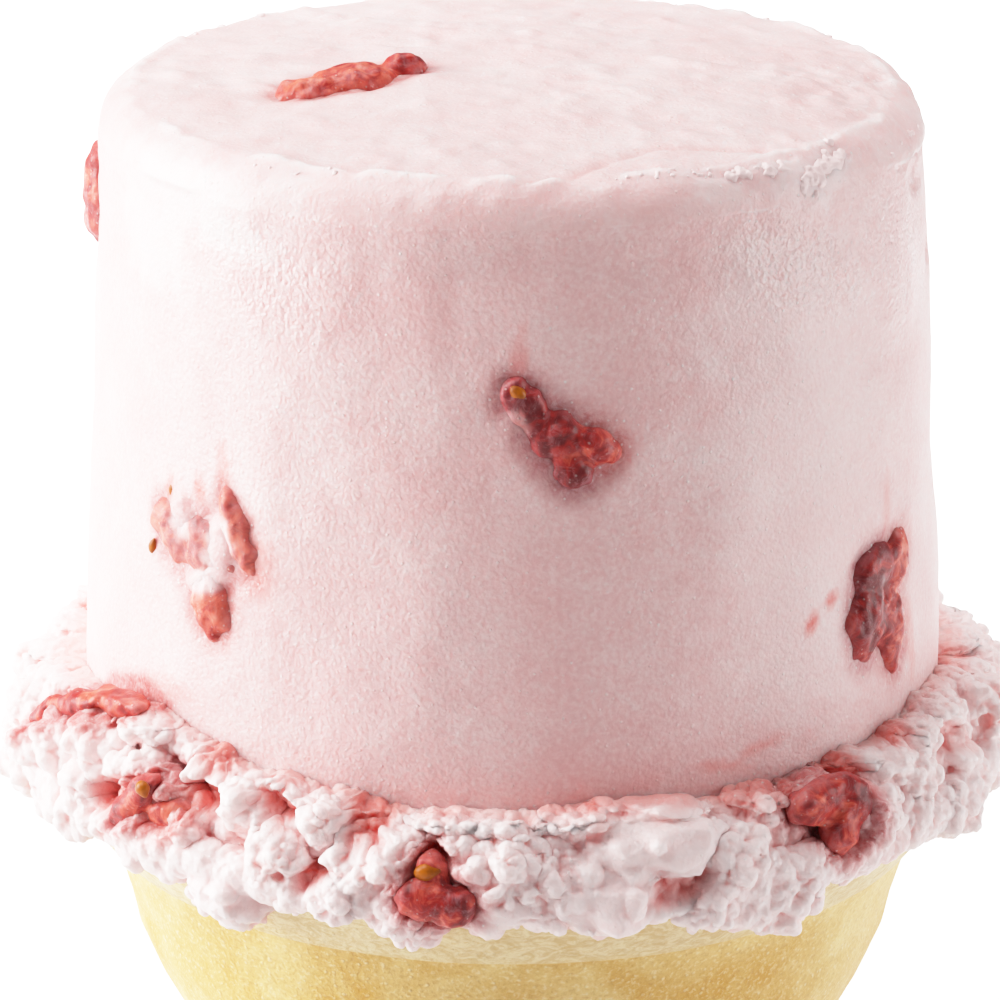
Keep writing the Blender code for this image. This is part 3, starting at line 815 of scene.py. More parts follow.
@dataclass(frozen=True)
class ConeSizes:
    """The wafer cone's driving sizes, the same as its solid's."""

    height: float = 78.0 * MM
    wall: float = 1.8 * MM
    floor: float = 2.6 * MM
    rim_radius: float = 29.8 * MM
    rim_edge: float = 0.5 * MM
    band_foot_height: float = 73.5 * MM
    band_foot_radius: float = 26.8 * MM
    band_step: float = 0.55 * MM
    bowl_top_radius: float = 25.5 * MM
    bowl_top_height: float = 71.5 * MM
    bowl_turn_radius: float = 24.2 * MM
    bowl_turn_height: float = 66.5 * MM
    bowl_foot_radius: float = 18.6 * MM
    bowl_foot_height: float = 55.0 * MM
    stem_top_radius: float = 17.6 * MM
    stem_top_height: float = 52.5 * MM
    stem_foot_radius: float = 15.6 * MM
    foot_radius: float = 16.6 * MM
    foot_height: float = 6.0 * MM
    foot_step: float = 0.8 * MM

    def outer(self) -> list[tuple[float, float]]:
        """The outer outline from the rim down to the foot."""
        return [
            (self.rim_radius - self.rim_edge, self.height),
            (self.rim_radius, self.height - self.rim_edge),
            (self.band_foot_radius, self.band_foot_height),
            (self.band_foot_radius - self.band_step, self.band_foot_height - 0.5 * self.band_step),
            (self.bowl_top_radius, self.bowl_top_height),
            (self.bowl_turn_radius + 0.4 * MM, self.bowl_turn_height + 2.0 * MM),
            (self.bowl_turn_radius, self.bowl_turn_height),
            (self.bowl_turn_radius - 1.2 * MM, self.bowl_turn_height - 3.0 * MM),
            (self.bowl_foot_radius, self.bowl_foot_height),
            (self.stem_top_radius, self.stem_top_height),
            (self.stem_top_radius - self.foot_step, self.stem_top_height - self.foot_step),
            (self.stem_foot_radius, self.foot_height + self.foot_step),
            (self.foot_radius, self.foot_height),
            (self.foot_radius, self.rim_edge),
            (self.foot_radius - self.rim_edge, 0.0),
        ]

    def inner(self) -> list[tuple[float, float]]:
        """The inner outline from the floor up to the mouth."""
        return [
            (self.stem_foot_radius - self.wall, self.floor),
            (self.stem_top_radius - self.foot_step - self.wall, self.stem_top_height - self.foot_step),
            (self.bowl_foot_radius - self.wall, self.bowl_foot_height),
            (self.bowl_turn_radius - 1.2 * MM - self.wall, self.bowl_turn_height - 3.0 * MM),
            (self.bowl_turn_radius - self.wall, self.bowl_turn_height),
            (self.bowl_top_radius - self.wall, self.bowl_top_height),
            (self.band_foot_radius - self.wall, self.band_foot_height),
            (self.rim_radius - self.wall, self.height - self.rim_edge),
            (self.rim_radius - self.wall + self.rim_edge, self.height),
        ]

    def wall_outline(self, grow: float) -> list[tuple[float, float]]:
        """The upper wall's section, grown all round, which clears the ice cream from it."""
        return [
            (self.bowl_turn_radius - self.wall - grow, self.bowl_turn_height),
            (self.bowl_top_radius - self.wall - grow, self.bowl_top_height),
            (self.band_foot_radius - self.wall - grow, self.band_foot_height),
            (self.rim_radius - self.wall - grow, self.height - self.rim_edge),
            (self.rim_radius - self.wall, self.height + grow),
            (self.rim_radius, self.height + grow),
            (self.rim_radius + grow, self.height - self.rim_edge),
            (self.band_foot_radius + grow, self.band_foot_height - grow),
            (self.bowl_turn_radius + self.band_step, self.bowl_turn_height),
        ]


@dataclass(frozen=True)
class ScoopSizes:
    """The pressed scoop's driving sizes, its solid's with a sharper shoulder."""

    base_height: float = 84.6 * MM
    base_radius: float = 27.0 * MM
    side_top: float = 117.8 * MM
    top_radius: float = 25.2 * MM
    shoulder_radius: float = 2.4 * MM
    shoulder_turn: float = math.radians(80)
    dome_top: float = 121.6 * MM
    plug_foot: float = 69.0 * MM
    plug_chamfer: float = 2.0 * MM

    def radius(self, height: float) -> float:
        """The side's radius at a height."""
        return blend(height, self.base_height, self.side_top, self.base_radius, self.top_radius)

    def shoulder_end(self) -> tuple[float, float]:
        """The radius and height where the shoulder meets the top."""
        radius = self.top_radius - self.shoulder_radius * (1.0 - math.cos(self.shoulder_turn))
        return radius, self.side_top + self.shoulder_radius * math.sin(self.shoulder_turn)

    def edge_reach(self, height: float) -> float:
        """The radius of the rounded edge at a height."""
        rise = min(max((height - self.side_top) / self.shoulder_radius, 0.0), 0.98)
        return self.top_radius - self.shoulder_radius * (1.0 - math.sqrt(1.0 - rise**2))

    def dome_height(self, radius: float) -> float:
        """The height of the low crowned top at a distance from the axis."""
        edge_radius, edge_height = self.shoulder_end()
        return self.dome_top - (self.dome_top - edge_height) * (radius / edge_radius) ** 2


CONE = ConeSizes()
SCOOP = ScoopSizes()


def round_spot(azimuth: float, reach: float, height: float) -> Matrix:
    """The surface frame on a round side: X to the right seen from outside, Y inward, Z up."""
    angle = math.radians(azimuth)
    along = Vector((math.cos(angle), math.sin(angle), 0.0))
    inward = Vector((-math.sin(angle), math.cos(angle), 0.0))
    turn = Matrix((along, inward, Vector((0.0, 0.0, 1.0)))).transposed().to_4x4()
    return Matrix.Translation(place(azimuth, reach, height)) @ turn


def side_spot(azimuth: float, height: float) -> Matrix:
    """The surface frame on the scoop's side, with the height in mm."""
    return round_spot(azimuth, SCOOP.radius(height * MM), height * MM)


def skirt_spot(azimuth: float, height: float, reach: float) -> Matrix:
    """The surface frame on the skirt, with the height and the reach in mm."""
    return round_spot(azimuth, reach * MM, height * MM)


def top_spot(x: float, y: float) -> Matrix:
    """The surface frame on the scoop's top, with the place in mm."""
    flat = Vector((x * MM, y * MM, 0.0))
    turn = Matrix(((1.0, 0.0, 0.0), (0.0, 0.0, -1.0), (0.0, 1.0, 0.0))).transposed().to_4x4()
    return Matrix.Translation((flat.x, flat.y, SCOOP.dome_height(flat.length))) @ turn


@dataclass(frozen=True)
class Lobe:
    """One rounded lobe of a fruit piece, lying on the surface at a spot, in mm.

    The half sizes run along, across and into the surface. A turn tilts the lobe on the
    surface, and bright tells a coral lobe, at 1, from a maroon one, at 0.
    """

    spot: Matrix
    along: float
    across: float
    deep: float
    turn: float = 0.0
    sink: float = 0.5
    bright: float = 0.5

    def frame(self) -> Matrix:
        """Where the lobe lies and how it is turned."""
        tilted = self.spot @ Matrix.Rotation(math.radians(self.turn), 4, "Y")
        return tilted @ Matrix.Translation((0.0, self.sink * MM, 0.0))

    def distance(self, points: np.ndarray) -> np.ndarray:
        """How far each point is from the lobe's middle along the surface, 1 at its edge."""
        local = self._local(points)
        return np.hypot(local[:, 0] / self.along, local[:, 2] / self.across)

    def gap(self, points: np.ndarray) -> np.ndarray:
        """How far each point is from the lobe's edge along the surface, in mm, below 0 inside."""
        local = self._local(points)
        flat = np.hypot(local[:, 0], local[:, 2])
        share = np.hypot(local[:, 0] / self.along, local[:, 2] / self.across)
        return flat - flat / np.maximum(share, 1.0e-3)

    def depth(self, points: np.ndarray) -> np.ndarray:
        """How deep each point lies under the surface that carries the lobe, in mm."""
        return self._local(points)[:, 1] + self.sink

    def _local(self, points: np.ndarray) -> np.ndarray:
        """The points in the lobe's own frame, in mm."""
        matrix = np.array(self.frame().inverted())
        return (points @ matrix[:3, :3].T + matrix[:3, 3]) / MM


@dataclass(frozen=True)
class Seed:
    """One seed in the fruit: its spot, its half sizes in mm, its tilt and how proud it stands."""

    spot: Matrix
    length: float
    width: float
    turn: float
    proud: float = 0.35


FRUIT_LOBES: dict[str, tuple[Lobe, ...]] = {
    "fruit_top": (
        Lobe(top_spot(-12.0, -5.9), 2.3, 1.6, 1.2, turn=-16, bright=0.65),
        Lobe(top_spot(-9.4, -4.1), 3.1, 2.2, 1.4, turn=-24, sink=0.5, bright=0.6),
        Lobe(top_spot(-6.6, -2.2), 1.5, 1.3, 1.4, turn=-30, sink=0.3, bright=0.35),
    ),
    "fruit_left_edge": (
        Lobe(side_spot(-86, 113.6), 3.3, 2.2, 1.4, turn=88, sink=0.5, bright=0.5),
        Lobe(side_spot(-89, 111.6), 1.8, 1.2, 1.3, turn=-80, sink=0.5, bright=0.4),
    ),
    "fruit_front_left": (
        Lobe(side_spot(-37.5, 98.2), 2.9, 1.0, 1.2, turn=62, sink=0.45, bright=0.6),
        Lobe(side_spot(-44.0, 96.8), 3.0, 2.0, 1.1, turn=20, sink=0.6, bright=0.5),
        Lobe(side_spot(-50.0, 97.0), 2.3, 1.5, 1.2, turn=50, sink=0.5, bright=0.55),
        Lobe(side_spot(-42.2, 93.4), 2.4, 1.5, 1.3, turn=78, sink=0.4, bright=0.7),
    ),
    "fruit_centre": (
        Lobe(side_spot(1.4, 107.8), 1.8, 1.2, 1.3, turn=55, sink=0.7, bright=0.2),
        Lobe(side_spot(5.6, 105.8), 2.4, 1.5, 1.4, turn=35, sink=0.7, bright=0.2),
        Lobe(side_spot(10.0, 105.2), 1.8, 1.1, 1.3, turn=20, sink=0.4, bright=0.6),
        Lobe(side_spot(7.6, 103.9), 1.3, 1.4, 1.3, turn=0, sink=0.6, bright=0.1),
    ),
    "fruit_right": (
        Lobe(side_spot(54.5, 94.0), 2.3, 1.6, 1.4, turn=-20, sink=0.5, bright=0.15),
        Lobe(side_spot(52.4, 91.2), 2.9, 1.9, 1.4, turn=-72, sink=0.4, bright=0.3),
        Lobe(side_spot(60.0, 93.8), 2.1, 1.6, 1.3, turn=-70, sink=0.3, bright=0.65),
        Lobe(side_spot(58.0, 89.8), 3.1, 1.6, 1.3, turn=80, sink=0.35, bright=0.5),
    ),
    "fruit_skirt_left_strip": (
        Lobe(skirt_spot(-70, 82.8, 30.6), 3.2, 0.75, 1.2, turn=-36, sink=0.4, bright=0.5),
        Lobe(skirt_spot(-63, 84.6, 29.9), 3.4, 0.85, 1.3, turn=-24, sink=0.4, bright=0.45),
        Lobe(skirt_spot(-56, 85.8, 28.9), 3.0, 0.8, 1.3, turn=-8, sink=0.4, bright=0.6),
    ),
    "fruit_skirt_left": (
        Lobe(skirt_spot(-46.6, 81.6, 31.1), 3.0, 0.95, 1.2, turn=-46, sink=0.4, bright=0.42),
        Lobe(skirt_spot(-42.0, 81.4, 30.9), 1.8, 1.0, 1.2, turn=-10, sink=0.8, bright=0.65),
    ),
    "fruit_skirt_front": (
        Lobe(skirt_spot(-9.4, 79.6, 31.7), 1.7, 1.3, 1.1, turn=10, sink=0.3, bright=0.38),
        Lobe(skirt_spot(-6.4, 79.2, 31.6), 1.6, 1.2, 1.1, turn=-15, sink=0.3, bright=0.35),
        Lobe(skirt_spot(-8.6, 81.2, 31.0), 1.2, 0.9, 1.2, turn=60, sink=0.4, bright=0.55),
    ),
    "fruit_skirt_right": (
        Lobe(skirt_spot(37, 82.8, 30.4), 2.4, 1.4, 1.3, turn=-8, sink=0.4, bright=0.42),
        Lobe(skirt_spot(41, 82.2, 30.7), 2.0, 1.4, 1.3, turn=70, sink=0.4, bright=0.25),
        Lobe(skirt_spot(39, 81.0, 31.1), 1.3, 1.7, 1.2, turn=0, sink=0.5, bright=0.45),
    ),
    "fruit_back_upper": (
        Lobe(side_spot(172, 110.6), 2.6, 1.4, 1.3, turn=25, sink=0.6),
        Lobe(side_spot(178, 111.8), 1.8, 1.2, 1.3, turn=-40, sink=0.5, bright=0.8),
    ),
    "fruit_back_lower": (
        Lobe(side_spot(205, 92.6), 3.0, 1.7, 1.3, turn=-60, sink=0.6, bright=0.3),
        Lobe(side_spot(209, 94.8), 2.2, 1.3, 1.3, turn=-20, sink=0.5, bright=0.7),
        Lobe(side_spot(202, 90.0), 2.0, 1.1, 1.2, turn=-80, sink=0.5),
    ),
    "fruit_back_right": (
        Lobe(side_spot(121, 99.4), 2.4, 1.5, 1.3, turn=-35, sink=0.6, bright=0.3),
        Lobe(side_spot(126, 101.2), 2.0, 1.2, 1.3, turn=40, sink=0.5, bright=0.8),
        Lobe(side_spot(117, 97.2), 1.5, 1.0, 1.2, turn=80, sink=0.5),
    ),
    "fruit_back_left": (
        Lobe(side_spot(-127, 101.8), 2.5, 1.4, 1.3, turn=60, sink=0.6, bright=0.4),
        Lobe(side_spot(-122, 99.6), 1.7, 1.2, 1.3, turn=0, sink=0.5, bright=0.8),
    ),
    "fruit_skirt_back_right": (
        Lobe(skirt_spot(136, 81.6, 30.9), 2.4, 1.3, 1.2, turn=25, sink=0.4, bright=0.4),
        Lobe(skirt_spot(141, 80.6, 31.0), 1.6, 1.2, 1.2, turn=-30, sink=0.4),
    ),
    "fruit_skirt_back_left": (
        Lobe(skirt_spot(-150, 82.0, 30.7), 2.2, 1.3, 1.2, turn=-30, sink=0.4),
        Lobe(skirt_spot(-145, 81.0, 30.9), 1.6, 1.1, 1.2, turn=30, sink=0.4, bright=0.8),
    ),
}

PROUD_FRUIT = {
    "fruit_top": 0.6,
    "fruit_left_edge": 0.6,
    "fruit_skirt_left_strip": 0.3,
    "fruit_skirt_left": 0.3,
    "fruit_skirt_front": 0.3,
    "fruit_skirt_right": 0.3,
    "fruit_skirt_back_right": 0.3,
    "fruit_skirt_back_left": 0.3,
}

ALL_LOBES = tuple(lobe for lobes in FRUIT_LOBES.values() for lobe in lobes)

CREAM_OVER_FRUIT = (
    Patch(-40.4, 97.4, 1.2, 2.0, turn=8),
    Patch(-42.5, 95.0, 2.0, 0.8, turn=-20),
    Patch(-47.6, 98.2, 1.0, 1.5, turn=-20, strength=0.9),
    Patch(0.2, 106.6, 0.8, 0.9, strength=0.35),
    Patch(-44.0, 97.4, 5.5, 3.6, strength=0.16),
    Patch(-58.0, 84.0, 3.4, 0.7, turn=-14),
    Patch(-66.0, 82.0, 3.0, 0.6, turn=-34),
)

SEEDS = (
    Seed(side_spot(0.8, 108.4), 0.70, 0.42, 50, proud=0.2),
    Seed(side_spot(7.5, 103.7), 0.58, 0.34, 85, proud=0.1),
    Seed(side_spot(-54.2, 95.6), 0.55, 0.32, -70, proud=0.0),
    Seed(side_spot(-50.3, 99.6), 0.5, 0.26, -80, proud=-0.1),
    Seed(side_spot(-44.7, 96.3), 0.5, 0.30, 40, proud=0.0),
    Seed(skirt_spot(-43.0, 83.2, 31.4), 0.55, 0.5, 60, proud=0.5),
    Seed(skirt_spot(-9.0, 81.3, 31.2), 0.80, 0.55, -10, proud=0.2),
    Seed(side_spot(176, 111.0), 0.65, 0.4, 30, proud=0.2),
    Seed(side_spot(206, 93.6), 0.65, 0.4, -50, proud=0.2),
    Seed(side_spot(122, 100.2), 0.62, 0.4, 20, proud=0.2),
    Seed(side_spot(-125.5, 101.0), 0.62, 0.4, 75, proud=0.2),
    Seed(skirt_spot(138, 81.4, 31.7), 0.62, 0.42, 10),
)

SIDE_STAINS = (
    Patch(0.6, 110.2, 0.5, 2.4, turn=8, strength=0.35),
    Patch(41.3, 92.3, 0.5, 0.8, turn=35, strength=0.9),
    Patch(45.2, 93.4, 0.6, 0.5, turn=-30, strength=0.8),
    Patch(-40.3, 101.6, 0.6, 2.0, turn=-10, strength=0.5),
    Patch(-44.7, 100.3, 0.6, 1.0, turn=-10, strength=0.7),
    Patch(-50.8, 99.6, 0.4, 1.0, turn=15, strength=0.6),
    Patch(-34.0, 96.5, 1.4, 2.2, strength=0.35),
    Patch(57.5, 97.5, 0.5, 2.4, turn=6, strength=0.3),
    Patch(64.0, 88.5, 0.7, 2.6, turn=-8, strength=0.4),
    Patch(27.0, 84.9, 1.8, 0.4, turn=10, strength=0.4),
    Patch(33.4, 85.6, 1.8, 0.4, turn=-10, strength=0.4),
    Patch(-50.0, 87.4, 2.6, 0.7, strength=0.3),
)

FROTH_AND_SHEEN_PATCHES = (
    Patch(-52.0, 117.6, 6.5, 2.2, turn=2),
    Patch(-58.0, 114.4, 4.2, 2.8, turn=20),
    Patch(-40.0, 115.8, 3.6, 1.1, turn=10),
    Patch(30.0, 112.5, 3.0, 1.6, turn=-30, strength=0.5),
    Patch(44.0, 111.0, 4.0, 2.4, turn=-30, strength=0.5),
    # Painted sheen: a broad pale patch over the right side, where the right light's reflection pales
    # the cream.
    Patch(42.0, 102.0, 8.5, 18.0, strength=0.5),
)

CRUMBLY_PATCHES = (
    Patch(29.0, 119.2, 2.4, 0.7, turn=4),
    Patch(40.0, 119.2, 2.4, 0.9, turn=-10),
    Patch(47.0, 118.4, 2.4, 0.8, turn=-24),
    Patch(62.0, 118.6, 3.0, 0.9, strength=0.6),
    Patch(-31.0, 119.2, 1.8, 0.7, strength=0.7),
    Patch(150.0, 119.2, 4.0, 0.9, strength=0.7),
    Patch(-150.0, 118.8, 4.0, 0.9, strength=0.6),
)

WET_PATCHES = (
    Patch(41.0, 114.0, 7.0, 3.4, turn=28),
    Patch(60.0, 112.0, 7.0, 5.0, turn=20, strength=0.7),
    Patch(-33.0, 113.5, 7.0, 3.4, turn=12, strength=0.8),
    Patch(-60.0, 110.0, 5.0, 6.0, strength=0.4),
    Patch(22.0, 109.0, 6.0, 5.0, strength=0.35),
    Patch(130.0, 108.0, 10.0, 5.0, turn=20, strength=0.7),
    Patch(-135.0, 110.0, 9.0, 4.0, turn=-20, strength=0.7),
)

CHIPS = (
    Patch(80.0, 119.0, 9.0, 1.6, strength=0.9),
    Patch(73.0, 116.0, 1.8, 0.9, turn=10, strength=0.6),
    Patch(84.0, 110.5, 2.4, 0.7, strength=0.6),
    Patch(-96.0, 113.0, 3.0, 0.8, strength=0.6),
)

SKIRT_TOP = (
    (-180.0, 84.4),
    (-150.0, 84.2),
    (-125.0, 82.8),
    (-88.0, 82.8),
    (-78.0, 84.4),
    (-65.0, 85.4),
    (-50.0, 86.2),
    (-42.0, 86.0),
    (-35.0, 85.0),
    (-20.0, 84.3),
    (-12.0, 83.7),
    (4.0, 83.8),
    (12.0, 84.2),
    (28.0, 83.6),
    (42.0, 83.8),
    (60.0, 84.6),
    (70.0, 85.0),
    (78.0, 84.4),
    (88.0, 82.8),
    (122.0, 82.8),
    (136.0, 84.2),
    (180.0, 84.4),
)

CALM_PATCHES = (
    Patch(16.0, 82.2, 4.8, 2.4),
    Patch(10.5, 79.0, 2.6, 3.4),
    Patch(-3.0, 77.9, 1.8, 1.8),
    Patch(-33.0, 78.0, 3.4, 2.2, strength=0.8),
    Patch(50.0, 83.4, 1.6, 1.6, strength=0.6),
    Patch(-57.0, 83.6, 2.6, 1.6, strength=0.5),
    Patch(-43.0, 79.2, 2.4, 1.6, strength=0.6),
)

SCOOP_WAVES = (
    Wave(0.30, 14.0, 3.0),
    Wave(0.15, 6.0, 8.0),
    Wave(0.05, 2.2, 14.0),
    Wave(0.03, 0.9, 21.0),
)

SCOOP_SMEARS = (Wave(0.13, 4.5, 12.0),)

CRUMBLE = (Wave(0.36, 1.9, 1.0), Wave(0.34, 0.95, 2.0), Wave(0.20, 0.5, 3.0))

CONE_WAVES = (Wave(0.07, 6.0, 71.0), Wave(0.03, 1.4, 73.0))

FRUIT_WAVES = (Wave(0.18, 1.4, 81.0), Wave(0.10, 0.6, 83.0))

TOP_CREASE = ((0.6, -23.4), (3.4, -22.3), (5.6, -19.6), (8.0, -17.5), (11.0, -16.9), (14.6, -16.6))

SKIRT_HOLLOWS = (
    Patch(-37.5, 85.2, 1.5, 1.6, turn=30, strength=0.9),
    Patch(-27.4, 83.4, 1.7, 0.9, turn=20),
    Patch(-51.0, 81.2, 3.0, 1.1, turn=-30),
    Patch(-38.0, 82.8, 1.7, 1.0),
    Patch(-16.6, 83.2, 1.5, 1.5),
    Patch(-8.6, 81.8, 1.2, 0.9),
    Patch(17.7, 79.6, 2.2, 0.9, turn=-10, strength=0.8),
    Patch(43.1, 83.6, 1.0, 1.6, turn=-30),
    Patch(54.0, 84.6, 1.4, 1.2),
    Patch(64.0, 82.4, 2.4, 0.9, turn=20, strength=0.7),
    Patch(-22.0, 80.0, 1.4, 0.7, turn=-30),
    Patch(88.0, 83.0, 2.0, 1.0),
    Patch(120.0, 82.0, 2.4, 1.0, turn=20),
    Patch(-110.0, 82.4, 2.4, 1.0, turn=-20),
    Patch(165.0, 81.6, 2.2, 0.9),
)

SKIRT_STAINS = (
    Patch(9.2, 83.4, 0.5, 1.0, turn=10),
    Patch(30.0, 83.4, 3.2, 0.7, turn=4, strength=0.7),
    Patch(4.0, 83.9, 15.0, 0.35, strength=0.5),
    Patch(46.0, 78.6, 2.0, 0.8, turn=-20, strength=0.4),
    Patch(-120.0, 84.0, 9.0, 0.4, strength=0.4),
    Patch(130.0, 84.0, 9.0, 0.4, strength=0.4),
)


def reach_of_fruit(lobes: tuple[Lobe, ...], points: np.ndarray) -> tuple[np.ndarray, np.ndarray]:
    """How far each point is from the nearest of some lobes, along the surface that carries them.

    Args:
        lobes: The lobes of fruit.
        points: One point a row.

    Returns:
        The distance to the nearest lobe's edge in mm, below 0 inside it, and how coral it is.
    """
    total = np.full(len(points), TINY)
    tint = np.zeros(len(points))
    for lobe in lobes:
        close = np.abs(lobe.depth(points)) < LOBE_REACH
        weight = np.where(close, np.exp(-LOBE_BLEND * np.clip(lobe.gap(points), -6.0, 9.0)), 0.0)
        total += weight
        tint += weight * lobe.bright
    return -np.log(total) / LOBE_BLEND, tint / total


@dataclass
class Scoop:
    """The pressed scoop with its low crowned top, down to the plug in the cone's mouth."""

    facets: int = 460
    top_rings: int = 62
    centre_ring: float = 1.2 * MM
    shoulder_rings: int = 18
    side_rings: int = 92
    bead: float = 0.24 * MM
    dent: float = 0.10 * MM
    film: float = 0.55 * MM
    waves: tuple[Wave, ...] = SCOOP_WAVES
    smears: tuple[Wave, ...] = SCOOP_SMEARS
    smear_squash: float = 0.35
    crumb_height: float = 0.6 * MM
    chip_depth: float = 0.4 * MM
    crease_depth: float = 0.2 * MM
    crease_width: float = 0.35
    pucker: float = 0.16 * MM
    lip_width: float = 48.0
    lip_height: float = 118.2
    lip_size: float = 0.8
    lip_proud: float = 0.10
    groove_height: float = 115.4
    groove_size: float = 1.5
    groove_depth: float = 0.28
    bead_width: float = 0.42 * MM
    bead_wander: float = 0.5 * MM

    def outline(self) -> list[tuple[float, float]]:
        """Half of the scoop's section, from the top's middle down to the plug's foot."""
        edge_radius, _ = SCOOP.shoulder_end()
        outline = [(0.0, SCOOP.dome_top)]
        for step in range(self.top_rings):
            radius = blend(step, 0, self.top_rings, self.centre_ring, edge_radius)
            outline.append((radius, SCOOP.dome_height(radius)))
        for step in range(self.shoulder_rings + 1):
            angle = SCOOP.shoulder_turn * (1.0 - step / self.shoulder_rings)
            radius = SCOOP.top_radius - SCOOP.shoulder_radius * (1.0 - math.cos(angle))
            outline.append((radius, SCOOP.side_top + SCOOP.shoulder_radius * math.sin(angle)))
        for step in range(1, self.side_rings + 1):
            height = blend(step, 0, self.side_rings, SCOOP.side_top, SCOOP.base_height - 2.5 * MM)
            outline.append((SCOOP.radius(height), height))
        clear = 0.5 * MM + CONE.wall
        return outline + [
            (SCOOP.base_radius - 0.6 * MM, CONE.height + 0.6 * MM),
            (CONE.band_foot_radius - clear + 1.2 * MM, CONE.band_foot_height + 2.0 * MM),
            (CONE.band_foot_radius - clear, CONE.band_foot_height),
            (CONE.bowl_top_radius - clear, CONE.bowl_top_height),
            (CONE.bowl_top_radius - CONE.wall - SCOOP.plug_chamfer, SCOOP.plug_foot),
            (0.0, SCOOP.plug_foot),
        ]

    def build(self) -> bpy.types.Object:
        """Spin the scoop and give it its relief and its layers."""
        item = turned("scoop", self.outline(), self.facets)
        points = read_points(item)
        shown = points[:, 2] > SCOOP.base_height - 3.0 * MM
        points[shown], layers = self.relief(points[shown])
        write_points(item, points)
        write_layers(item, shown, layers)
        return item

    def relief(self, points: np.ndarray) -> tuple[np.ndarray, dict[str, np.ndarray]]:
        """Move the shown points by the scoop's relief.

        Args:
            points: The points over the skirt.

        Returns:
            The moved points and their layers.
        """
        high = points[:, 2] > SCOOP.side_top
        outward = outward_of(points)
        outward[high] = (0.0, 0.0, 1.0)
        upright = points * np.array((1.0, 1.0, self.smear_squash))
        swell = waves_of(self.waves, points) + waves_of(self.smears, upright)
        swell += high * self.top_roughness(points)
        fray = fray_of(points)
        gap, tint = reach_of_fruit(ALL_LOBES, points)
        ragged = gap + 0.7 * fray
        swell -= self.dent * ease(ragged, 0.7, 0.0)
        swell += self.pucker * ease(ragged, 1.1, 0.0) * (ripple(points, 1.1 * MM, 37.0) - 0.3)
        cover = cover_of(CREAM_OVER_FRUIT, points, 0.5 * fray)
        swell += self.film * cover
        swell += self.lip(points)
        bead = self.bead_line(points)
        swell += bead * self.bead
        crumbly = cover_of(CRUMBLY_PATCHES, points, 2.0 * fray)
        crumbs = 0.4 * np.abs(ripple(points, 1.2 * MM, 43.0)) + 0.35 * domes(points, 0.75 * MM, 5.0)
        swell += self.crumb_height * crumbly * crumbs
        swell -= self.chip_depth * cover_of(CHIPS, points, 1.5 * fray)
        crease = self.creases(points)
        swell -= self.crease_depth * crease
        frothy = 0.9 * cover_of(FROTH_AND_SHEEN_PATCHES, points, 1.6 * fray)
        layers = {
            "near": ease(gap + 0.6 * fray, 1.9, -0.1) * (1.0 - 0.5 * cover),
            "tint": tint,
            # The stain layer also tints the top's crease: painted shade in the crease.
            "stain_and_shade": np.maximum(cover_of(SIDE_STAINS, points, fray), 0.2 * crease),
            "froth_and_painted_light": np.maximum.reduce([bead, 0.6 * crumbly, frothy]),
            "crevice_shade": np.zeros(len(points)),
            "calm": 1.0 * high,
            "wet": np.maximum(cover_of(WET_PATCHES, points, fray), 0.12 * high),
        }
        return points + outward * swell[:, None], layers

    def top_roughness(self, points: np.ndarray) -> np.ndarray:
        """How far the scraped top stands up at each point."""
        ridges = np.clip(ripple(points, 2.1 * MM, 29.0) - 0.15, 0.0, 1.0)
        dips = 0.13 * ripple(points, 3.2 * MM, 25.0) + 0.07 * ripple(points, 1.3 * MM, 27.0)
        return (dips + 0.35 * ridges) * MM

    def lip(self, points: np.ndarray) -> np.ndarray:
        """How far the pressed edge stands over the side below it, strongest at the front."""
        front = hump(azimuths_of(points), 0.0, self.lip_width)
        front = np.clip(front * (0.7 + ripple(points, 9.0 * MM, 45.0)), 0.0, 1.0)
        heights = points[:, 2] / MM
        low = points[:, 2] < SCOOP.side_top
        lift = self.lip_proud * hump(heights, self.lip_height, self.lip_size) * low
        lift -= self.groove_depth * hump(heights, self.groove_height, self.groove_size)
        return lift * MM * front

    def bead_line(self, points: np.ndarray) -> np.ndarray:
        """How much of the broken bright line round the top's edge lies on each point."""
        edge_radius, edge_height = SCOOP.shoulder_end()
        wander = edge_radius + self.bead_wander * ripple(points, 5.0 * MM, 47.0)
        high = points[:, 2] > edge_height - 1.2 * MM
        line = hump(reaches_of(points), wander, self.bead_width) * high
        gaps = ease(ripple(points, 2.6 * MM, 41.0), -0.25, 0.1)
        return line * gaps * (0.75 + 0.7 * domes(points, 0.8 * MM, 7.0))

    def creases(self, points: np.ndarray) -> np.ndarray:
        """How much of a crease in the top lies on each point."""
        flat = points[:, :2] / MM
        nearest = np.full(len(points), 9.0)
        for start, end in zip(TOP_CREASE, TOP_CREASE[1:]):
            base, run = np.array(start), np.array(end) - np.array(start)
            share = np.clip((flat - base) @ run / (run @ run), 0.0, 1.0)
            gap = np.linalg.norm(flat - base - share[:, None] * run, axis=1)
            nearest = np.minimum(nearest, gap)
        high = points[:, 2] > SCOOP.side_top + 2.0 * MM
        return hump(nearest, 0.0, self.crease_width) * high


@dataclass(frozen=True)
class CrumbLine:
    """A run of crumbs on the top's edge, from one azimuth and height to another, in mm."""

    start: float
    end: float
    start_height: float
    end_height: float
    count: int
    largest: float
    spread: float = 0.25


CRUMB_LINES = (
    CrumbLine(14, 33, 120.3, 119.9, 26, 0.20, spread=0.10),
    CrumbLine(30, 40, 119.9, 119.7, 26, 0.32, spread=0.12),
    CrumbLine(41, 52, 118.6, 119.9, 60, 0.36, spread=0.25),
    CrumbLine(56, 80, 119.6, 118.4, 12, 0.20),
    CrumbLine(-40, -22, 119.8, 120.1, 12, 0.18, spread=0.10),
    CrumbLine(120, 170, 119.6, 119.2, 50, 0.30, spread=0.4),
    CrumbLine(-160, -120, 119.2, 119.6, 40, 0.30, spread=0.4),
)


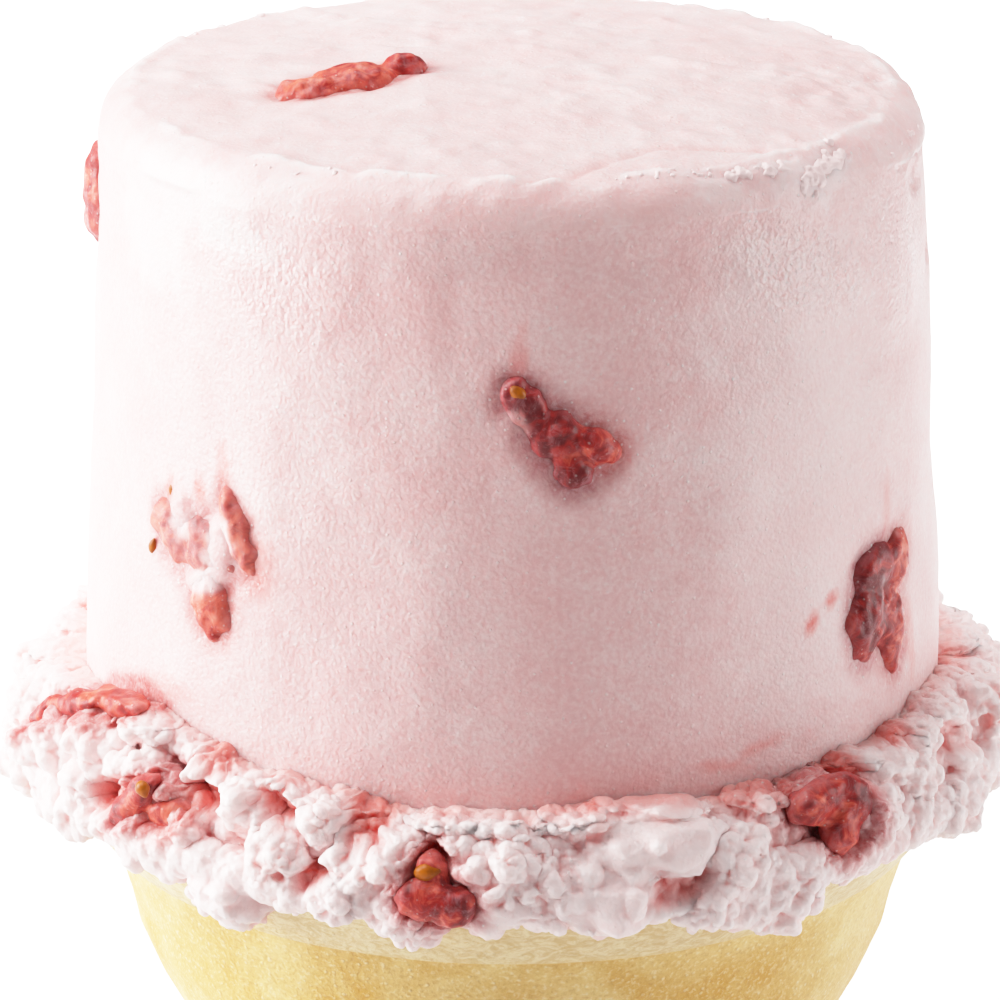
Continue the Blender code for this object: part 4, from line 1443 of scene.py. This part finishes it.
@dataclass
class EdgeCrumbs:
    """The small crumbs that cling to the top's edge."""

    seed: int = 29
    voxel: float = 0.08 * MM
    sink: float = 0.45

    def build(self, scoop: bpy.types.Object) -> bpy.types.Object:
        """Scatter the crumbs on the finished scoop and fuse them."""
        ball = Ball(2)
        heap = Heap()
        dice = random.Random(self.seed)
        for line in CRUMB_LINES:
            for index in range(line.count):
                share = dice.random()
                azimuth = line.start + share * (line.end - line.start)
                height = blend(share, 0.0, 1.0, line.start_height, line.end_height)
                height = (height + dice.gauss(0.0, line.spread)) * MM
                radius = line.largest * dice.uniform(0.55, 1.0) * MM
                guess = place(azimuth, SCOOP.edge_reach(height), height)
                _, spot, normal, _ = scoop.closest_point_on_mesh(guess)
                matrix = round_spot(azimuth, 0.0, 0.0)
                matrix.translation = spot - normal * self.sink * radius
                halves = tuple(radius * dice.uniform(0.8, 1.4) for _ in range(3))
                heap.add_lump(ball, matrix, halves, 0.3, 0.7 * index)
        item = heap.make("edge_crumbs")
        apply_modifier(item, "REMESH", mode="VOXEL", voxel_size=self.voxel)
        apply_modifier(item, "SMOOTH", factor=0.5, iterations=2)
        write_layer(item, "froth_and_painted_light", np.full(len(item.data.vertices), 0.9))
        shade_smooth(item)
        return item


@dataclass(frozen=True)
class Curd:
    """One lump of the skirt, in mm: place, mean radius, stretch, reach and how beaded it is."""

    azimuth: float
    height: float
    radius: float
    stretch: float = 1.0
    out: float = 0.0
    beads: float = 1.0


SKIRT_LUMPS = (
    Curd(-97, 77.7, 2.4, 1.2, out=0.7),
    Curd(-79, 78.0, 2.3, 1.1, out=0.7),
    Curd(-61, 78.6, 2.2, 1.2),
    Curd(-57, 83.5, 2.2, 1.2, out=0.9),
    Curd(-65, 82.2, 2.0, 1.2, out=0.9),
    Curd(-71, 80.8, 1.8, 1.1, out=0.9),
    Curd(-50, 85.6, 1.8, 1.2, out=0.3),
    Curd(-43, 79.2, 2.1, 1.2),
    Curd(-32, 82.8, 2.1, 1.0),
    Curd(-34, 77.6, 2.7, 1.1, beads=0.35),
    Curd(-21, 83.2, 2.3, 1.2),
    Curd(-15, 80.4, 2.6, 1.3),
    Curd(-3, 77.9, 1.4, 0.9, out=-0.2, beads=0.0),
    Curd(-1, 80.6, 2.4, 1.4),
    Curd(6, 79.6, 2.2, 1.1),
    Curd(10.6, 78.9, 2.6, 1.0, out=0.6, beads=0.05),
    Curd(16, 81.8, 3.1, 1.45, out=0.5, beads=0.05),
    Curd(25, 80.0, 2.5, 1.1),
    Curd(32, 77.8, 2.2, 1.3),
    Curd(50, 82.8, 2.5, 0.9),
    Curd(53, 79.6, 2.0, 1.1, out=-0.3),
    Curd(65, 83.6, 2.2, 1.0),
    Curd(80, 77.6, 2.1, 1.2, out=-0.3),
)


@dataclass(frozen=True)
class BeadKind:
    """How many beads a curd has, their sizes as shares of the curd's and how far out they sit."""

    count: int
    smallest: float
    largest: float
    out: float


KNOBS = BeadKind(16, 0.16, 0.36, 0.90)
CRUMBS = BeadKind(42, 0.07, 0.15, 1.0)


@dataclass(frozen=True)
class Row:
    """One row of the skirt's smaller curds, in mm."""

    height: float
    count: int
    radius_low: float
    radius_high: float


SKIRT_ROWS = (
    Row(78.5, 38, 1.4, 2.3),
    Row(81.0, 38, 1.5, 2.7),
    Row(83.8, 38, 1.3, 2.2),
)


class Stretch(Enum):
    """The stretches of the skirt, from one azimuth to another, and their voxels in mm."""

    FRONT_LEFT = (-58.0, -19.0, 0.12)
    FRONT = (-19.0, 21.0, 0.12)
    FRONT_RIGHT = (21.0, 58.0, 0.12)
    RIGHT = (58.0, 180.0, 0.17)
    LEFT = (-180.0, -58.0, 0.17)

    def __init__(self, start: float, end: float, voxel: float) -> None:
        """Keep where the stretch starts and ends and how fine it is."""
        self.start = start
        self.end = end
        self.voxel = voxel

    def holds(self, azimuth: float) -> bool:
        """Whether an azimuth belongs to the stretch."""
        turned_to = (azimuth + 180.0) % 360.0 - 180.0
        return self.start <= turned_to < self.end


def skirt_top(azimuths: np.ndarray | float) -> np.ndarray:
    """The height of the skirt's crest in some directions, in mm."""
    stations, heights = zip(*SKIRT_TOP)
    return np.interp(azimuths, stations, heights)


@dataclass
class Skirt:
    """The crumbly skirt that was squeezed out over the cone's rim."""

    face_radius: float = 31.4
    neck_radius: float = 29.4
    widest_height: float = 81.0
    core_middle: float = 27.6
    core_height: float = 81.1
    core_step: int = 4
    core_halves: tuple[float, float, float] = (2.2 * MM, 2.5 * MM, 2.9 * MM)
    hem_middle: float = 30.4
    hem_height: float = 79.0
    hem_halves: tuple[float, float, float] = (1.9 * MM, 1.3 * MM, 1.5 * MM)
    collar_middle: float = 27.3
    collar_drop: float = 1.4
    collar_step: int = 3
    collar_halves: tuple[float, float, float] = (1.7 * MM, 1.4 * MM, 1.2 * MM)
    hollow_depth: float = 1.2 * MM
    fruit_dent: float = 0.8 * MM
    calmed: float = 0.85
    give: float = 1.5 * MM
    sink: float = 0.85
    uneven: float = 0.22
    seed: int = 11
    bead_seed: int = 500
    clearance: float = 0.46
    wall_gap: float = 0.05 * MM
    wall_facets: int = 128
    most_triangles: int = 190_000

    def face(self, height: float) -> float:
        """How far the skirt's face stands from the axis at a height, in mm."""
        neck_height = SCOOP.base_height / MM
        return blend(height, self.widest_height, neck_height, self.face_radius, self.neck_radius)

    def centre(self, curd: Curd) -> Vector:
        """The middle of a curd, in metres."""
        reach = self.face(curd.height) + curd.out - self.sink * curd.radius
        return place(curd.azimuth, reach * MM, curd.height * MM)

    def crowded(self, curd: Curd, others: list[Curd]) -> bool:
        """Whether a curd would stand mostly inside one of those already there."""
        centre = self.centre(curd)
        return any(
            (centre - self.centre(other)).length < self.clearance * (curd.radius + other.radius) * MM
            for other in others
        )

    def curds(self) -> list[Curd]:
        """The curds listed, then rows of smaller ones where there is room."""
        dice = random.Random(self.seed)
        curds = list(SKIRT_LUMPS)
        for row in SKIRT_ROWS:
            for index in range(row.count):
                azimuth = -180.0 + 360.0 * (index + dice.uniform(-0.35, 0.35)) / row.count
                height = row.height + dice.uniform(-0.7, 0.7)
                radius = dice.uniform(row.radius_low, row.radius_high)
                stretch = dice.uniform(0.85, 1.35)
                curd = Curd(azimuth, height, radius, stretch, out=dice.uniform(-0.4, 0.4))
                if not self.crowded(curd, curds):
                    curds.append(curd)
        return curds

    def heap(self, stretch: Stretch) -> Heap:
        """The curds of one stretch, each with its beads, and the ring that joins them behind.

        Args:
            stretch: Which part of the skirt.

        Returns:
            The lumps.
        """
        coarse, middle, fine = Ball(1), Ball(2), Ball(3)
        heap = Heap()
        turns = random.Random(self.seed + 1)
        for index, curd in enumerate(self.curds()):
            squash = turns.uniform(0.85, 1.15)
            tilt = math.radians(turns.uniform(-30.0, 30.0))
            if not stretch.holds(curd.azimuth):
                continue
            halves = (curd.radius * curd.stretch * MM, curd.radius * MM, curd.radius * squash * MM)
            matrix = round_spot(curd.azimuth, 0.0, 0.0)
            matrix.translation = self.centre(curd)
            matrix = matrix @ Matrix.Rotation(tilt, 4, "Y")
            heap.add_lump(fine, matrix, halves, self.uneven, 1.7 * index)
            dice = random.Random(self.bead_seed + index)
            self.add_beads(heap, matrix, halves, curd.beads, dice, (middle, coarse))
        self.add_rings(heap, middle, stretch)
        return heap

    def add_rings(self, heap: Heap, ball: Ball, stretch: Stretch) -> None:
        """Join the curds of a stretch by rings of plain lumps: the core, the hem and the collar."""
        first, last = round(stretch.start), round(stretch.end)
        for azimuth in range(first, last + 1, self.core_step):
            matrix = round_spot(azimuth, self.core_middle * MM, self.core_height * MM)
            heap.add(ball, matrix, self.core_halves)
            between = azimuth + self.core_step / 2
            matrix = round_spot(between, self.hem_middle * MM, self.hem_height * MM)
            heap.add(ball, matrix, self.hem_halves)
        for azimuth in range(first, last + 1, self.collar_step):
            height = float(skirt_top(azimuth)) - self.collar_drop
            matrix = round_spot(azimuth, self.collar_middle * MM, height * MM)
            heap.add(ball, matrix, self.collar_halves)

    def add_beads(
        self,
        heap: Heap,
        matrix: Matrix,
        halves: tuple[float, float, float],
        amount: float,
        dice: random.Random,
        balls: tuple[Ball, Ball],
    ) -> None:
        """Set knobs and crumbs on the outer side of one curd.

        Args:
            heap: What takes them.
            matrix: Where the curd stands.
            halves: The curd's half sizes.
            amount: How beaded the curd is, from 0 to 1.
            dice: The random numbers.
            balls: The ball for knobs and the one for crumbs.
        """
        mean = sum(halves) / 3.0
        for ball, kind in zip(balls, (KNOBS, CRUMBS)):
            for _ in range(round(kind.count * amount)):
                direction = Vector((dice.gauss(0, 1), -abs(dice.gauss(0, 1)) - 0.1, dice.gauss(0, 1)))
                direction.normalize()
                spot = Vector([value * half * kind.out for value, half in zip(direction, halves)])
                radius = mean * dice.uniform(kind.smallest, kind.largest)
                sizes = tuple(radius * dice.uniform(0.8, 1.3) for _ in range(3))
                heap.add(ball, matrix @ Matrix.Translation(spot), sizes)

    def crumble(self, points: np.ndarray) -> np.ndarray:
        """How far the crumbly surface stands out at each point: puffs, knobs and beads."""
        uneven = warped(points, 1.6 * MM, 0.5 * MM)
        rough = sum(wave.depth * domes(uneven, wave.size * MM, wave.seed) for wave in CRUMBLE)
        calm = cover_of(CALM_PATCHES, points, 0.3 * fray_of(points))
        return rough * (1.0 - self.calmed * calm) * MM

    def build(self, stretch: Stretch) -> bpy.types.Object:
        """Fuse the curds of one stretch into a crumbly mass and give it its layers."""
        item = self.heap(stretch).make(f"skirt_{stretch.name.lower()}")
        apply_modifier(item, "REMESH", mode="VOXEL", voxel_size=stretch.voxel * MM)
        cut(item, turned("wall_cutter", CONE.wall_outline(self.wall_gap), self.wall_facets))
        apply_modifier(item, "SMOOTH", factor=0.5, iterations=2)
        self.limit(item)
        points = self.lowered(read_points(item))
        write_points(item, points)
        normals = read_normals(item)
        shown = reaches_of(points) > (self.core_middle - 0.6) * MM
        points[shown], layers = self.relief(points[shown], normals[shown])
        write_points(item, points)
        write_layers(item, shown, layers)
        apply_modifier(item, "SMOOTH", factor=0.4, iterations=1)
        shade_smooth(item)
        return item

    def lowered(self, points: np.ndarray) -> np.ndarray:
        """Press down what stands over the skirt's top line."""
        tops = skirt_top(azimuths_of(points)) * MM
        tops += 0.4 * MM * ripple(points, 2.5 * MM, 65.0)
        start = tops - self.give
        over = np.maximum(points[:, 2] - start, 0.0) / self.give
        pressed = points.copy()
        pressed[:, 2] = np.where(over > 0.0, start + self.give * (1.0 - np.exp(-over)), points[:, 2])
        return pressed

    def relief(
        self, points: np.ndarray, normals: np.ndarray
    ) -> tuple[np.ndarray, dict[str, np.ndarray]]:
        """Move the shown points by the crumbly relief.

        Args:
            points: The points outside the core.
            normals: Where each faces.

        Returns:
            The moved points and their layers.
        """
        above_rim = ease(points[:, 2], CONE.height - 1.0 * MM, CONE.height + 1.0 * MM)
        facing = (normals[:, 0] * points[:, 0] + normals[:, 1] * points[:, 1]) / reaches_of(points)
        strength = np.maximum(above_rim, ease(facing, -0.4, 0.1))
        crumbs = self.crumble(points) * strength
        fray = fray_of(points)
        gap, tint = reach_of_fruit(ALL_LOBES, points)
        stains = cover_of(SKIRT_STAINS, points, fray)
        hollows = cover_of(SKIRT_HOLLOWS, points, fray)
        sunk = self.fruit_dent * ease(gap + 0.5 * fray, 0.2, -0.5)
        sunk += self.hollow_depth * hollows * above_rim
        moved = points + normals * crumbs[:, None] - outward_of(points) * sunk[:, None]
        faces = np.array([self.face(height / MM) for height in moved[:, 2].tolist()]) * MM
        depth = (faces + 0.4 * MM - reaches_of(moved)) / MM
        low = ease(crumbs, 0.0, -0.35 * MM)
        layers = {
            "near": ease(gap, 1.7, 0.0),
            "tint": tint,
            # Stains, made stronger the deeper a point lies and filling the sunk hollows: painted shade
            # in the recesses.
            "stain_and_shade": np.maximum(stains, hollows) * (0.3 + 0.5 * ease(depth, 0.3, 1.6)),
            # Frost with painted light: paler on the parts of the curds that stand out, less in their
            # low spots.
            "froth_and_painted_light": ease(depth, 2.4, 0.6) * (1.0 - 0.6 * low),
            # Painted shade: deeper pink in the crevices behind the skirt's face and in the low spots of
            # its crumble.
            "crevice_shade": np.maximum(0.8 * ease(depth, 1.2, 2.8), 0.65 * low),
            "crumb": 1.0 - cover_of(CALM_PATCHES, points, fray),
            "wet": np.full(len(points), 0.15),
        }
        return moved, layers

    def limit(self, item: bpy.types.Object) -> None:
        """Thin the mesh if it is over what one piece may hold."""
        count = sum(len(face.vertices) - 2 for face in item.data.polygons)
        if count > self.most_triangles:
            apply_modifier(item, "DECIMATE", ratio=self.most_triangles / count)


@dataclass
class Cone:
    """The wafer cone, a thin shell that is open at its mouth."""

    facets: int = 300
    step: float = 0.7 * MM

    def outline(self) -> list[tuple[float, float]]:
        """The shell's section with points close enough for its relief."""
        corners = [(0.0, CONE.floor)] + CONE.inner() + CONE.outer() + [(0.0, 0.0)]
        outline = [corners[0]]
        inner_end = len(CONE.inner())
        for index in range(1, len(corners)):
            start, end = corners[index - 1], corners[index]
            length = math.hypot(end[0] - start[0], end[1] - start[1])
            fine = inner_end < index < len(corners) - 1
            pieces = max(round(length / self.step), 1) if fine else 1
            for piece in range(1, pieces + 1):
                share = piece / pieces
                outline.append(tuple(a + share * (b - a) for a, b in zip(start, end)))
        return outline

    def build(self) -> bpy.types.Object:
        """Spin the shell and give it its unevenness and its band."""
        item = turned("wafer_cone", self.outline(), self.facets)
        points = read_points(item)
        shown = ease(points[:, 2], 0.4 * MM, 1.2 * MM)
        swell = waves_of(CONE_WAVES, points)
        write_points(item, points + outward_of(points) * (swell * shown)[:, None])
        band = ease(points[:, 2], CONE.band_foot_height - 0.2 * MM, CONE.band_foot_height + 0.1 * MM)
        write_layer(item, "band", band)
        activate(item)
        bpy.ops.object.shade_smooth_by_angle(angle=math.radians(35))
        return item


@dataclass
class Fruit:
    """One piece of strawberry, its lobes fused and wrinkled."""

    name: str
    lobes: tuple[Lobe, ...]
    uneven: float = 0.10
    voxel: float = 0.13 * MM
    crease: float = 0.12 * MM
    proud: float = 0.1
    press: float = 0.8

    def build(self) -> bpy.types.Object:
        """Fuse the lobes and give them their relief and their layers."""
        ball = Ball(4)
        heap = Heap()
        for index, lobe in enumerate(self.lobes):
            halves = (lobe.along * MM, lobe.deep * MM, lobe.across * MM)
            heap.add_lump(ball, lobe.frame(), halves, self.uneven, 2.3 * index)
        item = heap.make(f"{self.name}_flesh")
        apply_modifier(item, "REMESH", mode="VOXEL", voxel_size=self.voxel)
        apply_modifier(item, "SMOOTH", factor=0.5, iterations=16)
        points = read_points(item)
        normals = read_normals(item)
        swell = waves_of(FRUIT_WAVES, points)
        creases = np.abs(ripple(points, 1.0 * MM, 85.0))
        swell += self.crease * (creases - 0.25)
        points = self.flattened(points + normals * swell[:, None])
        write_points(item, points)
        fray = 0.35 * ripple(points, 0.9 * MM, 91.0)
        write_layer(item, "cream", cover_of(CREAM_OVER_FRUIT, points, fray))
        write_layer(item, "bright", self.mixed(points, [lobe.bright for lobe in self.lobes]))
        gap, _ = reach_of_fruit(self.lobes, points)
        write_layer(item, "edge", ease(gap + 0.5 * fray, -0.75, 0.2))
        shade_smooth(item)
        return item

    def flattened(self, points: np.ndarray) -> np.ndarray:
        """Press what stands proud of the carrying surface nearly flush with it."""
        outward = -np.array(self.lobes[0].spot.to_3x3())[:, 1]
        height = self.mixed(points, [-lobe.depth(points) for lobe in self.lobes])
        extra = np.maximum(height - self.proud, 0.0) * (1.0 - self.press)
        return points - outward * (extra * MM)[:, None]

    def mixed(self, points: np.ndarray, values: list[np.ndarray | float]) -> np.ndarray:
        """What each lobe says, mixed at each point by how near the lobe is.

        Args:
            points: One point a row.
            values: For each lobe, one value or one a point.

        Returns:
            One value a point.
        """
        total = np.zeros(len(points))
        weights = np.full(len(points), TINY)
        for lobe, value in zip(self.lobes, values):
            weight = np.exp(-3.0 * lobe.distance(points))
            total += weight * value
            weights += weight
        return total / weights


@dataclass
class SeedSet:
    """All the seeds that show in the fruit, in one piece."""

    seeds: tuple[Seed, ...] = SEEDS
    taper: float = 0.45

    def build(self) -> bpy.types.Object:
        """Set a pointed drop of the right size at each seed's place."""
        ball = Ball(3)
        heap = Heap()
        for seed in self.seeds:
            matrix = seed.spot @ Matrix.Rotation(math.radians(seed.turn), 4, "Y")
            matrix = matrix @ Matrix.Translation((0.0, -seed.proud * MM, 0.0))
            points = ball.points * np.array((seed.length, seed.width * 0.8, seed.width)) * MM
            narrow = 1.0 - self.taper * np.clip(ball.points[:, 0], 0.0, 1.0)
            points[:, 1:] *= narrow[:, None]
            heap.add_points(ball, points, matrix)
        item = heap.make("strawberry_seeds")
        shade_smooth(item)
        return item


@dataclass(frozen=True)
class SoftBox:
    """A soft box: place, aim, width and height in metres, power in watts and spread in degrees."""

    name: str
    spot: tuple[float, float, float]
    aim: tuple[float, float, float]
    size: tuple[float, float]
    power: float
    spread: float = 180.0


SOFT_BOXES = (
    SoftBox("left_box", (-0.45, 0.02, 0.20), (0.0, 0.0, 0.10), (0.36, 0.30), 5.2),
    SoftBox("right_box", (0.44, -0.055, 0.13), (0.0, 0.0, 0.10), (0.30, 0.30), 1.38),
    SoftBox("top_box", (-0.17, -0.06, 0.41), (0.0, 0.0, 0.10), (0.22, 0.22), 1.10),
    SoftBox("back_box", (0.0, 0.44, 0.50), (0.0, 0.42, 0.0), (0.70, 0.50), 9.0, spread=80.0),
)


@dataclass
class Studio:
    """The floor, the soft lights, the camera and the picture's tone."""

    lens: float = 162.0
    pitch: float = 70.69
    camera_x: float = -0.00074
    camera_y: float = -0.26758
    camera_z: float = 0.18682
    floor_size: float = 6.0
    world: float = 0.155
    white: float = 3.0
    knee: float = 2.4
    tone_stations: int = 12
    tone_crowding: float = 1.6

    def add_camera(self) -> None:
        """Set the camera at the photograph's angle."""
        data = bpy.data.cameras.new("camera")
        data.lens = self.lens
        data.sensor_width = 36.0
        data.clip_start = 0.01
        data.clip_end = 20.0
        camera = bpy.data.objects.new("camera", data)
        camera.location = (self.camera_x, self.camera_y, self.camera_z)
        camera.rotation_euler = (math.radians(self.pitch), 0.0, 0.0)
        bpy.context.scene.collection.objects.link(camera)
        bpy.context.scene.camera = camera

    def add_floor(self) -> None:
        """Lay the plain pale floor."""
        bpy.ops.object.select_all(action="DESELECT")
        bpy.ops.mesh.primitive_plane_add(size=self.floor_size, location=(0.0, 0.0, 0.0))
        floor = bpy.context.active_object
        floor.name = "floor"
        floor.data.materials.append(FloorFinish().make())

    def add_light(self, box: SoftBox) -> None:
        """Add one soft box."""
        data = bpy.data.lights.new(box.name, "AREA")
        data.shape = "RECTANGLE"
        data.size, data.size_y = box.size
        data.energy = box.power
        data.spread = math.radians(box.spread)
        light = bpy.data.objects.new(box.name, data)
        light.location = box.spot
        towards = Vector(box.aim) - Vector(box.spot)
        light.rotation_euler = towards.to_track_quat("-Z", "Y").to_euler()
        bpy.context.scene.collection.objects.link(light)

    def add_world(self) -> None:
        """Fill the shadows with a weak even light."""
        world = bpy.data.worlds.new("studio")
        world.use_nodes = True
        background = world.node_tree.nodes["Background"]
        background.inputs["Color"].default_value = (1.0, 1.0, 1.0, 1.0)
        background.inputs["Strength"].default_value = self.world
        bpy.context.scene.world = world

    def set_tone(self) -> None:
        """Give the picture a soft shoulder, as a camera does."""
        view = bpy.context.scene.view_settings
        view.view_transform = "Standard"
        view.look = "None"
        view.use_curve_mapping = True
        mapping = view.curve_mapping
        mapping.use_clip = False
        mapping.white_level = (self.white, self.white, self.white)
        curve = mapping.curves[3]
        for step in range(1, self.tone_stations):
            light = self.white * (step / self.tone_stations) ** self.tone_crowding
            curve.points.new(light / self.white, self.shown(light))
        curve.points[-1].location = (1.0, 1.0)
        mapping.update()

    def shown(self, light: float) -> float:
        """How bright a linear light is shown, between 0 and 1."""
        return self.rolled(light) / self.rolled(self.white)

    def rolled(self, light: float) -> float:
        """A light rolled off towards 1."""
        return light / (1.0 + light**self.knee) ** (1.0 / self.knee)

    def build(self) -> None:
        """Set up the whole studio."""
        self.add_camera()
        self.add_floor()
        for box in SOFT_BOXES:
            self.add_light(box)
        self.add_world()
        self.set_tone()


def keep(item: bpy.types.Object, material: bpy.types.Material, slot: Slot, *nodes: str) -> None:
    """Dress a finished piece, set it on the body and report it.

    Args:
        item: The piece.
        material: Its finish.
        slot: The record's finish that it stands for; not used.
        nodes: The solids that it replaces.
    """
    item.data.materials.clear()
    item.data.materials.append(material)
    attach(item, BODY)
    if nodes:
        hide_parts(*nodes)
    triangles = sum(len(face.vertices) - 2 for face in item.data.polygons)
    log.info("%s: %d triangles", item.name, triangles)


def main() -> None:
    """Build every piece in order."""
    logging.basicConfig(level=logging.INFO, format="%(message)s")
    Studio().build()
    ice_cream = IceCreamFinish().make()
    crumbs = IceCreamFinish(name="strawberry_ice_cream_crumbs", glow=0.0).make()
    curds = IceCreamFinish(
        name="strawberry_ice_cream_curds",
        glow=1.3 * MM,
        spread=(1.0, 0.85, 0.82),
        crumbly=True,
    ).make()
    strawberry = StrawberryFinish().make()
    keep(Cone().build(), WaferFinish().make(), Slot.WAFER, "cone")
    scoop = Scoop().build()
    keep(scoop, ice_cream, Slot.ICE_CREAM, "ice_cream")
    keep(EdgeCrumbs().build(scoop), crumbs, Slot.ICE_CREAM, "ice_cream")
    for stretch in Stretch:
        keep(Skirt().build(stretch), curds, Slot.ICE_CREAM, "ice_cream")
    for name, lobes in FRUIT_LOBES.items():
        proud = PROUD_FRUIT.get(name, Fruit.proud)
        keep(Fruit(name, lobes, proud=proud).build(), strawberry, Slot.STRAWBERRY, name)
    keep(SeedSet().build(), SeedFinish().make(), Slot.STRAWBERRY)


if __name__ == "__main__":
    main()
